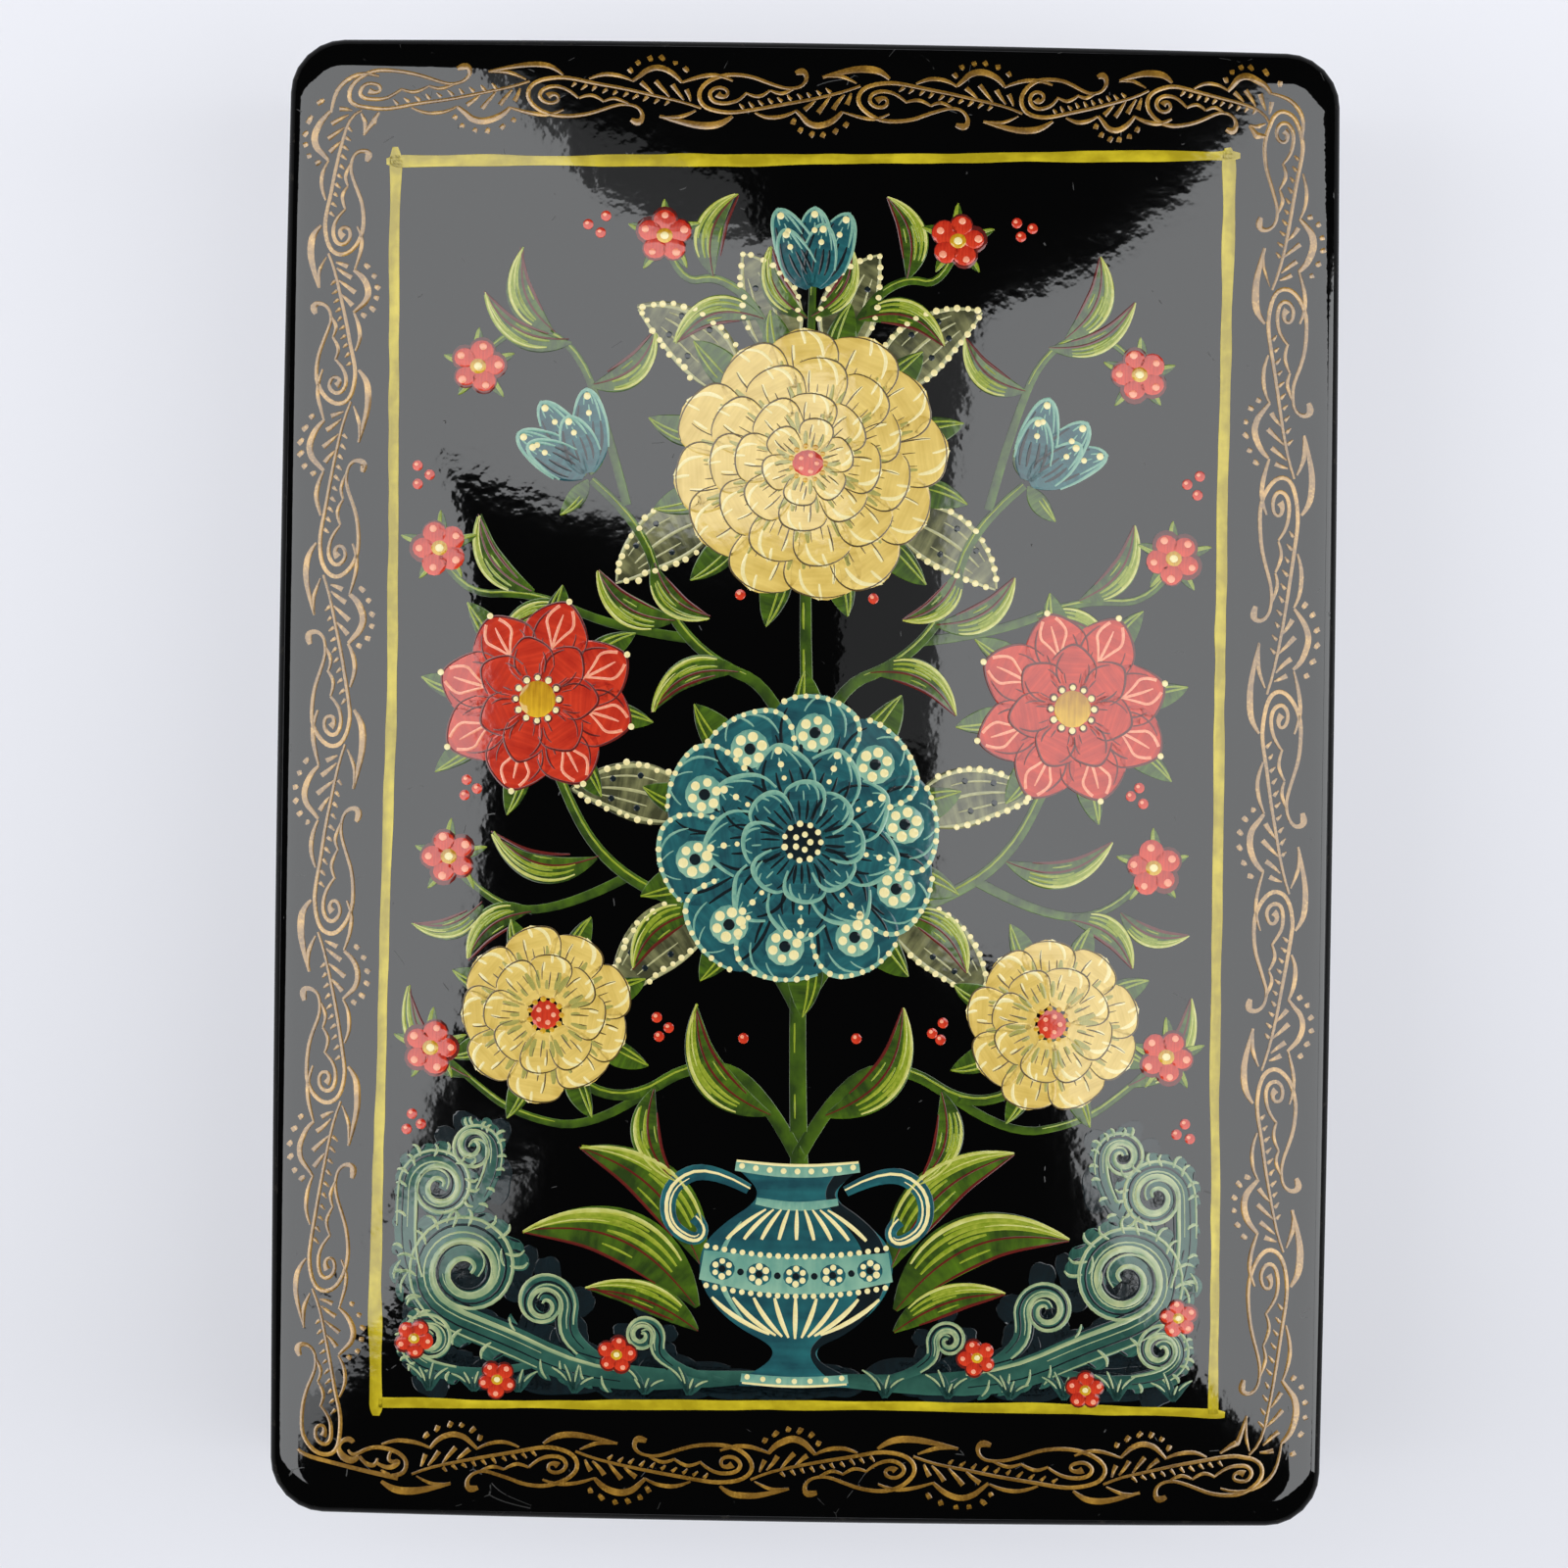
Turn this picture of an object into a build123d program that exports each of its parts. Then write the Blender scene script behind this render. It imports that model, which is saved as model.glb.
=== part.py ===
from build123d import *
from math import radians, tan
import os

os.makedirs("parts", exist_ok=True)

# A hinged papier-mache box. +Z is up, +Y is the top of the lid's picture and -X is the hinge side.
# The origin is the middle of the footprint. All lengths are in millimetres.

# Outline of the box, seen from above
box_width = 100
box_length = 140
side_bow = 0.4  # how far the middle of a side stands out beyond its corners
corner_radius = 5
least_corner_radius = 1.5  # the tightest bend that wound card takes

# Body
body_height = 27
wall_thickness = 4
bottom_thickness = 3
foot_bevel = 0.6
liner_thickness = 1.4
lip_height = 3  # how far the liner stands above the wall
lip_bevel = 0.45
glue_line = 0.05

# Lid
rim_height = 8.4
panel_edge = 2.5  # upright edge of the domed panel
panel_thickness = 3.3
panel_round = 1.8
shoulder_margin = 0.02  # how far the rounded blank stands over the dome at the top of its rounding
dome_rise = 4
parting_gap = 0.1
parting_bevel = 0.35
lip_clearance = 0.25

# Hinges
hinge_length = 24
hinge_end_distance = 32  # from the end of the box to the middle of a hinge
hinge_setback = 1.8  # from the outer face to the pin's axis
knuckle_count = 3
knuckle_radius = 1.2
knuckle_gap = 0.15
knuckle_clearance = 0.15
leaf_thickness = 0.6
leaf_depth = 7
kerf_clearance = 0.05
pin_radius = 0.5
pin_held_clearance = 0.02
pin_running_clearance = 0.06
open_angle = 100
stop_clearance_angle = 0.5

# Rivets across the wall, two for each leaf
rivet_radius = 0.5
rivet_spacing = 14
rivet_depth = 4.2  # from the pin's axis
rivet_cover = 1.1  # lacquered wall left outside a rivet
rivet_clearance = 0.03

# How far a cutting solid reaches past what it cuts
overrun = 10

# Places that follow from the sizes
lid_wall = wall_thickness + glue_line - lip_clearance
rim_foot = body_height + parting_gap
rim_top = rim_foot + rim_height
shoulder_rise = dome_rise * (1 - (1 - 2 * panel_round / box_width) ** 2)
axis_x = hinge_setback - box_width / 2
axis_z = body_height + parting_gap / 2
knuckle_pitch = hinge_length / knuckle_count
hinge_place = box_length / 2 - hinge_end_distance
hinge_places = {"hinge_a": hinge_place, "hinge_b": -hinge_place}


def outline(inset):
    """The rounded rectangle with bowed sides, drawn in by an inset from the outer face."""
    half_width = box_width / 2 - inset
    half_length = box_length / 2 - inset
    corner_x = half_width - side_bow
    corner_y = half_length - side_bow
    with BuildSketch() as shape:
        with BuildLine():
            ThreePointArc((-corner_x, -corner_y), (0, -half_length), (corner_x, -corner_y))
            ThreePointArc((corner_x, -corner_y), (half_width, 0), (corner_x, corner_y))
            ThreePointArc((corner_x, corner_y), (0, half_length), (-corner_x, corner_y))
            ThreePointArc((-corner_x, corner_y), (-half_width, 0), (-corner_x, -corner_y))
        make_face()
        fillet(shape.vertices(), max(corner_radius - inset, least_corner_radius))
    return shape.sketch


def below_dome(edge_height):
    """The space under a domed face that stands at edge_height over the middle of each side."""
    half_width = box_width / 2
    half_length = box_length / 2
    reach_x = half_width + overrun
    reach_y = half_length + overrun
    # A parabola that is 1 in the middle and 0 over the side, as the three control heights of its reach
    falls_x = (1 - (reach_x / half_width) ** 2, 1 + (reach_x / half_width) ** 2)
    falls_y = (1 - (reach_y / half_length) ** 2, 1 + (reach_y / half_length) ** 2)
    across = ((-reach_x, falls_x[0]), (0, falls_x[1]), (reach_x, falls_x[0]))
    along = ((-reach_y, falls_y[0]), (0, falls_y[1]), (reach_y, falls_y[0]))
    points = [
        [(x, y, edge_height + dome_rise * fall_x * fall_y) for y, fall_y in along]
        for x, fall_x in across
    ]
    crown = Face.make_bezier_surface(points)
    return Solid.extrude(crown, Vector(0, 0, -edge_height - overrun))


def hinge_planes(up):
    """A plane on each hinge's axis, with x into the box and z along the leaf of the lid or of the body."""
    return [
        Plane(origin=(axis_x, place, axis_z), x_dir=(1, 0, 0), z_dir=(0, 0, up))
        for place in hinge_places.values()
    ]


def stop_groove():
    """The wedge cut along the whole hinge side, whose two slopes meet when the lid is fully open."""
    reach = hinge_setback + overrun
    rise = reach * tan(radians(open_angle / 2 + stop_clearance_angle))
    with BuildPart() as wedge:
        with BuildSketch(Plane.XZ.offset(-box_length / 2 - overrun)):
            with BuildLine():
                Polyline(
                    (axis_x, axis_z),
                    (axis_x - reach, axis_z + rise),
                    (axis_x - reach, axis_z - rise),
                    close=True,
                )
            make_face()
        extrude(amount=box_length + 2 * overrun)
    return wedge.part


def hinge_pocket(plane):
    """The round channel for the knuckles and the saw kerf for the leaf, at one hinge."""
    channel_radius = knuckle_radius + knuckle_clearance
    length = hinge_length + 2 * knuckle_clearance
    with BuildPart(plane) as pocket:
        Cylinder(channel_radius, length, rotation=(90, 0, 0))
        with Locations((knuckle_radius + kerf_clearance, 0, 0)):
            Box(
                leaf_thickness + 2 * kerf_clearance,
                length,
                leaf_depth + kerf_clearance,
                align=(Align.MAX, Align.CENTER, Align.MIN),
            )
    return pocket.part


def rivet_rods(up, radius, cover):
    """The rivets of both leaves on one side, from far inside the box out to the cover."""
    with BuildPart(*hinge_planes(up)) as rods:
        with Locations(
            (0, -rivet_spacing / 2, rivet_depth),
            (0, rivet_spacing / 2, rivet_depth),
        ):
            Cylinder(radius, 2 * (wall_thickness + overrun), rotation=(0, 90, 0))
        with BuildSketch(Plane.XY):
            add(outline(cover))
        extrude(amount=rim_top + overrun, mode=Mode.INTERSECT)
    return rods.part


def leaf(plane, first_knuckle, bore_clearance):
    """One hinge leaf: a flat blade under a barrel, with every other knuckle cut away."""
    own = range(first_knuckle, knuckle_count, 2)
    cut_away = [knuckle for knuckle in range(knuckle_count) if knuckle not in own]
    ends = [-hinge_length / 2, hinge_length / 2]
    with BuildPart(plane) as blade:
        Cylinder(knuckle_radius, hinge_length, rotation=(90, 0, 0))
        with Locations((knuckle_radius, 0, 0)):
            Box(leaf_thickness, hinge_length, leaf_depth, align=(Align.MAX, Align.CENTER, Align.MIN))
        middles = [(0, ends[0] + (knuckle + 1 / 2) * knuckle_pitch, 0) for knuckle in cut_away]
        with Locations(*middles):
            Cylinder(
                knuckle_radius + knuckle_clearance,
                knuckle_pitch + knuckle_gap,
                rotation=(90, 0, 0),
                mode=Mode.SUBTRACT,
            )
        Cylinder(pin_radius + bore_clearance, hinge_length + overrun, rotation=(90, 0, 0), mode=Mode.SUBTRACT)
        with Locations((0, -rivet_spacing / 2, rivet_depth), (0, rivet_spacing / 2, rivet_depth)):
            Cylinder(rivet_radius + rivet_clearance, overrun, rotation=(0, 90, 0), mode=Mode.SUBTRACT)
    return blade.part


# Body wall: card wound on a form, pressed and baked, sanded to the outline
with BuildPart() as body_wall:
    with BuildSketch(Plane.XY):
        add(outline(0))
        add(outline(wall_thickness), mode=Mode.SUBTRACT)
    extrude(amount=body_height)
    chamfer(body_wall.faces().sort_by(Axis.Z)[0].outer_wire().edges(), foot_bevel)
    chamfer(body_wall.faces().sort_by(Axis.Z)[-1].outer_wire().edges(), parting_bevel)
    add(stop_groove(), mode=Mode.SUBTRACT)
    for plane in hinge_planes(-1):
        add(hinge_pocket(plane), mode=Mode.SUBTRACT)
    add(rivet_rods(-1, rivet_radius + rivet_clearance, rivet_cover - rivet_clearance), mode=Mode.SUBTRACT)
body_wall.part.label = "body_wall"
export_step(body_wall.part, "parts/body_wall.step")

# Bottom: a pressed plate glued in flush with the foot of the wall
with BuildPart() as bottom_panel:
    with BuildSketch(Plane.XY):
        add(outline(wall_thickness + glue_line))
    extrude(amount=bottom_thickness)
bottom_panel.part.label = "bottom_panel"
export_step(bottom_panel.part, "parts/bottom_panel.step")

# Liner: a thin ring that stands on the bottom, and whose top is the lip that the lid closes over
with BuildPart() as inner_liner:
    with BuildSketch(Plane.XY.offset(bottom_thickness)):
        add(outline(wall_thickness + glue_line))
        add(outline(wall_thickness + glue_line + liner_thickness), mode=Mode.SUBTRACT)
    extrude(amount=body_height + lip_height - bottom_thickness)
    chamfer(inner_liner.faces().sort_by(Axis.Z)[-1].edges(), lip_bevel)
inner_liner.part.label = "inner_liner"
export_step(inner_liner.part, "parts/inner_liner.step")

# Lid rim: cut from the same wound tube as the wall, and opened inside to pass over the lip
with BuildPart() as lid_rim:
    with BuildSketch(Plane.XY.offset(rim_foot)):
        add(outline(0))
        add(outline(lid_wall), mode=Mode.SUBTRACT)
    extrude(amount=rim_height)
    chamfer(lid_rim.faces().sort_by(Axis.Z)[0].outer_wire().edges(), parting_bevel)
    add(stop_groove(), mode=Mode.SUBTRACT)
    for plane in hinge_planes(1):
        add(hinge_pocket(plane), mode=Mode.SUBTRACT)
    add(rivet_rods(1, rivet_radius + rivet_clearance, rivet_cover - rivet_clearance), mode=Mode.SUBTRACT)
lid_rim.part.label = "lid_rim"
export_step(lid_rim.part, "parts/lid_rim.step")

# Lid panel: a plate with a rounded edge, pressed into a dome, hollow under it and flat where it sits on the rim
with BuildPart() as lid_panel:
    with BuildSketch(Plane.XY.offset(rim_top)):
        add(outline(0))
    extrude(amount=panel_edge + shoulder_rise + shoulder_margin)
    fillet(lid_panel.faces().sort_by(Axis.Z)[-1].edges(), panel_round)
    with BuildSketch(Plane.XY.offset(rim_top)):
        add(outline(panel_round))
    extrude(amount=panel_edge + dome_rise + overrun)
    add(below_dome(rim_top + panel_edge), mode=Mode.INTERSECT)
    add(below_dome(rim_top + panel_edge - panel_thickness), mode=Mode.SUBTRACT)
lid_panel.part.label = "lid_panel"
export_step(lid_panel.part, "parts/lid_panel.step")

# Hinges: a body leaf with the outer knuckles, a lid leaf with the knuckles between them, and a pin
for name, body_plane, lid_plane in zip(hinge_places, hinge_planes(-1), hinge_planes(1)):
    body_leaf = leaf(body_plane, 0, pin_held_clearance)
    body_leaf.label = name + "_body_leaf"
    export_step(body_leaf, "parts/" + name + "_body_leaf.step")

    lid_leaf = leaf(lid_plane, 1, pin_running_clearance)
    lid_leaf.label = name + "_lid_leaf"
    export_step(lid_leaf, "parts/" + name + "_lid_leaf.step")

    with BuildPart(body_plane) as pin:
        Cylinder(pin_radius, hinge_length, rotation=(90, 0, 0))
    pin.part.label = name + "_pin"
    export_step(pin.part, "parts/" + name + "_pin.step")

# Rivets: brass wire across the wall and the leaf, dressed flush with the wall's inner face
with BuildPart() as body_rivets:
    add(rivet_rods(-1, rivet_radius, rivet_cover))
    with BuildSketch(Plane.XY):
        add(outline(wall_thickness))
    extrude(amount=rim_top + overrun, mode=Mode.SUBTRACT)
body_rivets.part.label = "body_rivets"
export_step(body_rivets.part, "parts/body_rivets.step")

with BuildPart() as lid_rivets:
    add(rivet_rods(1, rivet_radius, rivet_cover))
    with BuildSketch(Plane.XY):
        add(outline(lid_wall))
    extrude(amount=rim_top + overrun, mode=Mode.SUBTRACT)
lid_rivets.part.label = "lid_rivets"
export_step(lid_rivets.part, "parts/lid_rivets.step")
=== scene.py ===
import bpy
import random
from math import atan2, cos, hypot, pi, radians, sin, sqrt
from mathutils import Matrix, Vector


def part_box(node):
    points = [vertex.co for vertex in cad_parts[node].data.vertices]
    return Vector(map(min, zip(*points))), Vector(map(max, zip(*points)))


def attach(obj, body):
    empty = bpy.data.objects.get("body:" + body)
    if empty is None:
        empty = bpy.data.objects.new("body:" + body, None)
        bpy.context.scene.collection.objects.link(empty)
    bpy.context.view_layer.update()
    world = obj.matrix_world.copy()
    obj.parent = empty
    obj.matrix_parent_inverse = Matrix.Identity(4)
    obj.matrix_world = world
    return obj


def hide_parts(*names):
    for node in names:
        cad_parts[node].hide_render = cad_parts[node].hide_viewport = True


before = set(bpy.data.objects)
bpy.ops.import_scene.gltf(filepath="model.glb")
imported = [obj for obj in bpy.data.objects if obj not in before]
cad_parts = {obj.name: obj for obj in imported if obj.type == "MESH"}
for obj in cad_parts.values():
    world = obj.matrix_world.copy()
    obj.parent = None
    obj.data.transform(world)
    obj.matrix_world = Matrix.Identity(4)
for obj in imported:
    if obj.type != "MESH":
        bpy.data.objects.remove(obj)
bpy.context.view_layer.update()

# Body wall: card wound on a form, pressed, baked and sanded, then coated black outside.
# Many layers of oil lacquer, rubbed down and polished, give a deep gloss with slow ripples, pinned dust and
# hair scratches. The mesh is the frame's own wall, joined up and shaded as one bowed surface.
mm = 0.001
half_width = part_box("body_wall")[1][0] / mm
half_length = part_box("body_wall")[1][1] / mm
side_bow = 0.4  # how far the middle of a side stands out beyond its corners
corner_radius = 5
corner_x = half_width - side_bow
corner_y = half_length - side_bow


def color(code):
    """The linear colour of an sRGB hex code."""
    parts = [int(code[place:place + 2], 16) / 255 for place in (1, 3, 5)]
    return [part / 12.92 if part <= 0.04045 else ((part + 0.055) / 1.055) ** 2.4 for part in parts] + [1]


def feed(material, node, inputs):
    """Links each input that is given a socket and sets each that is given a value, by name or in order."""
    for socket, value in inputs.items() if isinstance(inputs, dict) else enumerate(inputs):
        if isinstance(value, bpy.types.NodeSocket):
            material.node_tree.links.new(value, node.inputs[socket])
        else:
            node.inputs[socket].default_value = value


def add_node(material, kind, inputs=(), out=0, **settings):
    """A shader node with its settings, values and links, given back as one of its outputs."""
    node = material.node_tree.nodes.new("ShaderNode" + kind)
    for name, value in settings.items():
        setattr(node, name, value)
    feed(material, node, inputs)
    return node.outputs[out]


def new_material(name):
    """An empty material and its surface shader."""
    material = bpy.data.materials.new(name)
    material.use_nodes = True
    return material, material.node_tree.nodes["Principled BSDF"]


# A Map Range node takes its value, the range that it comes in and the range that it leaves in, in that order
def polished_coat(material):
    """The top of the polished lacquer: its relief, and where dust and hair scratches lie in it."""
    place = add_node(material, "TexCoord", out="Object")
    ripple = add_node(material, "TexNoise", {"Vector": place, "Scale": 1 / (5 * mm), "Detail": 3.5,
                                             "Roughness": 0.65})
    peel = add_node(material, "TexNoise", {"Vector": place, "Scale": 1 / (1.1 * mm), "Detail": 2.0})
    drift = add_node(material, "TexNoise", {"Vector": place, "Scale": 1 / (9 * mm), "Detail": 1.0}, "Color")
    swerve = add_node(material, "VectorMath", (drift, (7 * mm, 7 * mm, 0)), operation="MULTIPLY")
    swerved = add_node(material, "VectorMath", (place, swerve), operation="ADD")
    strands = add_node(material, "TexVoronoi", {"Vector": swerved, "Scale": 1 / (6 * mm)},
                       feature="DISTANCE_TO_EDGE")
    strand = add_node(material, "MapRange", (strands, 0.004, 0.010, 1, 0))
    gaps = add_node(material, "TexNoise", {"Vector": place, "Scale": 1 / (2.6 * mm), "Detail": 2.0})
    lengthwise = add_node(material, "SeparateXYZ", (place,), "Y")
    from_middle = add_node(material, "Math", (lengthwise,), operation="ABSOLUTE")
    near_end = add_node(material, "MapRange", (from_middle, 60 * mm, 68 * mm, 0, 0.07))
    worn = add_node(material, "Math", (gaps, near_end), operation="ADD")
    short = add_node(material, "MapRange", (worn, 0.66, 0.68, 0, 1))
    hair = add_node(material, "Math", (strand, short), operation="MULTIPLY")
    cells = add_node(material, "TexVoronoi", {"Vector": place, "Scale": 1 / (4.2 * mm)})
    pick = add_node(material, "SeparateColor", (cells.node.outputs["Color"],))
    few = add_node(material, "MapRange", (pick, 0.72, 0.73, 0, 1))
    core = add_node(material, "Math", (pick.node.outputs["Green"], 0.03), operation="MULTIPLY")
    rim_of_grain = add_node(material, "Math", (core, 0.018), operation="ADD")
    grain = add_node(material, "MapRange", (cells, core, rim_of_grain, 1, 0))
    dust = add_node(material, "Math", (grain, few), operation="MULTIPLY")
    slow = add_node(material, "Bump", {"Height": ripple, "Strength": 1.0, "Distance": 0.017 * mm})
    fine = add_node(material, "Bump", {"Height": peel, "Strength": 1.0, "Distance": 0.0008 * mm,
                                       "Normal": slow})
    relief = add_node(material, "Bump", {"Height": dust, "Strength": 1.0, "Distance": 0.02 * mm,
                                         "Normal": fine})
    return {"place": place, "relief": relief, "dust": dust, "hair": hair}


def lacquer(name, ground):
    """Polished oil lacquer on papier-mache: the gloss clouds a little, dust is pale, hairs scatter light."""
    material, shader = new_material(name)
    coat = polished_coat(material)
    dusty = add_node(material, "Math", (coat["dust"], 0.22), operation="MULTIPLY")
    scored = add_node(material, "Math", (coat["hair"], 0.07), operation="MULTIPLY")
    pale = add_node(material, "Math", (dusty, scored), operation="MAXIMUM")
    surface = add_node(material, "Mix", {0: pale, 6: color(ground), 7: color("#a9a8a4")}, 2, data_type="RGBA")
    cloud = add_node(material, "TexNoise", {"Vector": coat["place"], "Scale": 1 / (20 * mm), "Detail": 4.0})
    gloss = add_node(material, "MapRange", (cloud, 0.3, 0.7, 0.02, 0.045))
    scratched = add_node(material, "Math", (coat["hair"], 0.3), operation="MULTIPLY")
    roughness = add_node(material, "Math", (gloss, scratched), operation="ADD")
    feed(material, shader, {"Base Color": surface, "Roughness": roughness, "Normal": coat["relief"]})
    return material


black_lacquer = lacquer("polished_black_lacquer", "#030303")
red_lacquer = lacquer("polished_red_lacquer", "#a3180f")


def into_scene(name, data):
    piece = bpy.data.objects.new(name, data)
    bpy.context.scene.collection.objects.link(piece)
    return piece


def take_up(piece):
    """Selects one object alone, for the operators to work on."""
    bpy.ops.object.select_all(action="DESELECT")
    piece.select_set(True)
    bpy.context.view_layer.objects.active = piece


def merge_points(distance):
    bpy.ops.object.mode_set(mode="EDIT")
    bpy.ops.mesh.select_all(action="SELECT")
    bpy.ops.mesh.remove_doubles(threshold=distance)
    bpy.ops.object.mode_set(mode="OBJECT")


def outward(x, y):
    """The way out of the rounded rectangle from a point near its edge, and how far it is from the core."""
    centre_x, centre_y = corner_x - corner_radius, corner_y - corner_radius
    away_x = x - max(-centre_x, min(centre_x, x))
    away_y = y - max(-centre_y, min(centre_y, y))
    length = hypot(away_x, away_y)
    return away_x / max(length, 0.001), away_y / max(length, 0.001), length


inner_depth = 0.6  # how far inside the outline the outer face's own facets may lie
facing = 0.9


def true_normals(mesh):
    """Flat faces shade flat, and the outer ones shade as the bowed outline, whatever their facets."""
    normals = [(0, 0, 0)] * len(mesh.loops)
    for face in mesh.polygons:
        if 0.05 < abs(face.normal.z) < 0.98:
            continue
        away_x, away_y, reach = outward(face.center.x / mm, face.center.y / mm)
        looks_out = face.normal.x * away_x + face.normal.y * away_y > facing
        outside = reach > corner_radius - inner_depth and looks_out
        for loop in face.loop_indices:
            x, y = mesh.vertices[mesh.loops[loop].vertex_index].co.to_2d() / mm
            auto = mesh.corner_normals[loop].vector
            if abs(face.normal.z) > 0.5:
                way = (0, 0, face.normal.z)
            elif outside:
                away_x, away_y, reach = outward(x, y)
                way = (away_x + 2 * side_bow * x / corner_x ** 2 * abs(away_y),
                       away_y + 2 * side_bow * y / corner_y ** 2 * abs(away_x), 0)
            else:
                way = (auto.x, auto.y, 0)
            length = hypot(*way)
            normals[loop] = [part / length for part in way]
    mesh.normals_split_custom_set(normals)


weld = 0.0005 * mm
smooth_angle = radians(32)


def joined_copy(node, name, body):
    """A copy of a frame node with its loose facets merged and its round faces shaded smooth."""
    mesh = bpy.data.meshes.new_from_object(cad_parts[node])
    piece = into_scene(name, mesh)
    take_up(piece)
    merge_points(weld)
    bpy.ops.object.shade_smooth_by_angle(angle=smooth_angle)
    mesh.materials.clear()
    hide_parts(node)
    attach(piece, body)
    return piece


wall = joined_copy("body_wall", "wound_wall", "base")
wall.data.materials.append(black_lacquer)
true_normals(wall.data)

# Bottom: a pressed plate glued in flush with the foot of the wall.
# Lacquered black under the box and red inside it.
bottom = joined_copy("bottom_panel", "bottom_plate", "base")
bottom.data.materials.append(black_lacquer)
bottom.data.materials.append(red_lacquer)
for face in bottom.data.polygons:
    if face.normal.z > 0.5:
        face.material_index = 1

# Liner: a thin ring glued inside the wall, red all over.
# Its top is the lip that the lid closes over.
liner = joined_copy("inner_liner", "red_liner", "base")
liner.data.materials.append(red_lacquer)
true_normals(liner.data)

# Hinges: two small brass hinges let into the long left side, with leaves, pins and rivets.
# Drawn brass, tarnished a little in clouds, with a satin where it is clean.


def aged_brass():
    """Drawn brass: lines along its length, clouds of tarnish, and a satin where it is clean."""
    material, shader = new_material("drawn_brass_aged")
    place = add_node(material, "TexCoord", out="Object")
    stretched = add_node(material, "Mapping", {"Vector": place, "Scale": (1, 0.08, 1)})
    drawn = add_node(material, "TexNoise", {"Vector": stretched, "Scale": 1 / (0.12 * mm), "Detail": 3.0})
    tarnish = add_node(material, "TexNoise", {"Vector": place, "Scale": 1 / (1.8 * mm), "Detail": 5.0,
                                              "Roughness": 0.65})
    dark = add_node(material, "MapRange", (tarnish, 0.42, 0.68, 0, 1))
    metal = add_node(material, "Mix", {0: dark, 6: color("#cba45a"), 7: color("#7d5c2c")}, 2,
                     data_type="RGBA")
    satin = add_node(material, "MapRange", (tarnish, 0.3, 0.7, 0.22, 0.45))
    lines = add_node(material, "Bump", {"Height": drawn, "Strength": 0.6, "Distance": 0.004 * mm})
    feed(material, shader, {"Base Color": metal, "Metallic": 1.0, "Roughness": satin, "Normal": lines})
    return material


brass = aged_brass()
hinge_parts = []
for hinge in ("hinge_a", "hinge_b"):
    for part, body in (("_body_leaf", "base"), ("_lid_leaf", "lid"), ("_pin", "base")):
        hinge_parts.append((hinge + part, hinge + part + "_brass", body))
hinge_parts += [("body_rivets", "body_rivet_wires", "base"), ("lid_rivets", "lid_rivet_wires", "lid")]
for node, name, body in hinge_parts:
    joined_copy(node, name, body).data.materials.append(brass)

# Lid rim: cut from the same wound tube as the wall, black outside and red inside.
# Glued under the domed panel.
rim = joined_copy("lid_rim", "wound_rim", "lid")
rim.data.materials.append(black_lacquer)
rim.data.materials.append(red_lacquer)
kerf_x = 47 * mm  # the cuts for the hinge leaves lie further out and stay black
for face in rim.data.polygons:
    inward = -(face.normal.x * face.center.x + face.normal.y * face.center.y)
    if inward > 0 and abs(face.normal.z) < 0.1 and abs(face.center.x) < kerf_x:
        face.material_index = 1
true_normals(rim.data)

# Lid panel: a pressed papier-mache plate, domed, with a rounded shoulder and a hollow underside.
# It carries the painting, and its face is a little lower than the frame's, to leave room for the paint.
# The last of the shoulder is rubbed dull by hands: it mirrors little and shows the brown ground in patches.
seat_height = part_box("lid_panel")[0][2] / mm
shoulder_width = 2.9
shoulder_drop = 1.8
panel_thickness = 3.3
dome_rise = 4
paint_room = 0.08
crown_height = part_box("lid_panel")[1][2] / mm - paint_room
core_inset = 3.2  # from the outline to the first ring that follows it
grid_pitch = 0.6


def rubbed_edge():
    material, shader = new_material("rubbed_black_lacquer_edge")
    coat = polished_coat(material)
    scuffs = add_node(material, "TexNoise", {"Vector": coat["place"], "Scale": 1 / (1.6 * mm), "Detail": 5.0,
                                             "Roughness": 0.7})
    patches = add_node(material, "MapRange", (scuffs, 0.58, 0.7, 0, 0.3))
    surface = add_node(material, "Mix", {0: patches, 6: color("#050504"), 7: color("#48423a")}, 2,
                       data_type="RGBA")
    dull = add_node(material, "MapRange", (scuffs, 0.35, 0.65, 0.12, 0.3))
    feed(material, shader, {"Base Color": surface, "Roughness": dull, "Specular IOR Level": 0.05,
                            "Normal": coat["relief"]})
    return material


def dome(x, y):
    """Height of the lid's domed face, in millimetres."""
    return crown_height - dome_rise * (1 - (1 - (x / half_width) ** 2) * (1 - (y / half_length) ** 2))


def bowed(x, y, way=1):
    """A point of the straight-sided rectangle, moved out with the bow of the sides, or back if way is -1."""
    return (x * (1 + way * side_bow / corner_x * (1 - (y / corner_y) ** 2)),
            y * (1 + way * side_bow / corner_y * (1 - (x / corner_x) ** 2)))


def lid_face(x, y):
    """Height of the lid's face, with its shoulder, in millimetres."""
    away_x, away_y, reach = outward(*bowed(x, y, -1))
    share = max(0, min(1, 1 + (reach - corner_radius) / shoulder_width))
    return dome(x, y) - shoulder_drop * (1 - sqrt(1 - share ** 2))


def rounded_corner(x, y, inset):
    """A point of the rectangle, drawn into a corner of the rounded outline."""
    radius = corner_radius - inset
    centre_x, centre_y = corner_x - corner_radius, corner_y - corner_radius
    a, b = (abs(x) - centre_x) / radius, (abs(y) - centre_y) / radius
    if a > 0 and b > 0:
        x = (centre_x + radius * a * sqrt(1 - b * b / 2)) * (1 if x > 0 else -1)
        y = (centre_y + radius * b * sqrt(1 - a * a / 2)) * (1 if y > 0 else -1)
    return x, y


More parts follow.
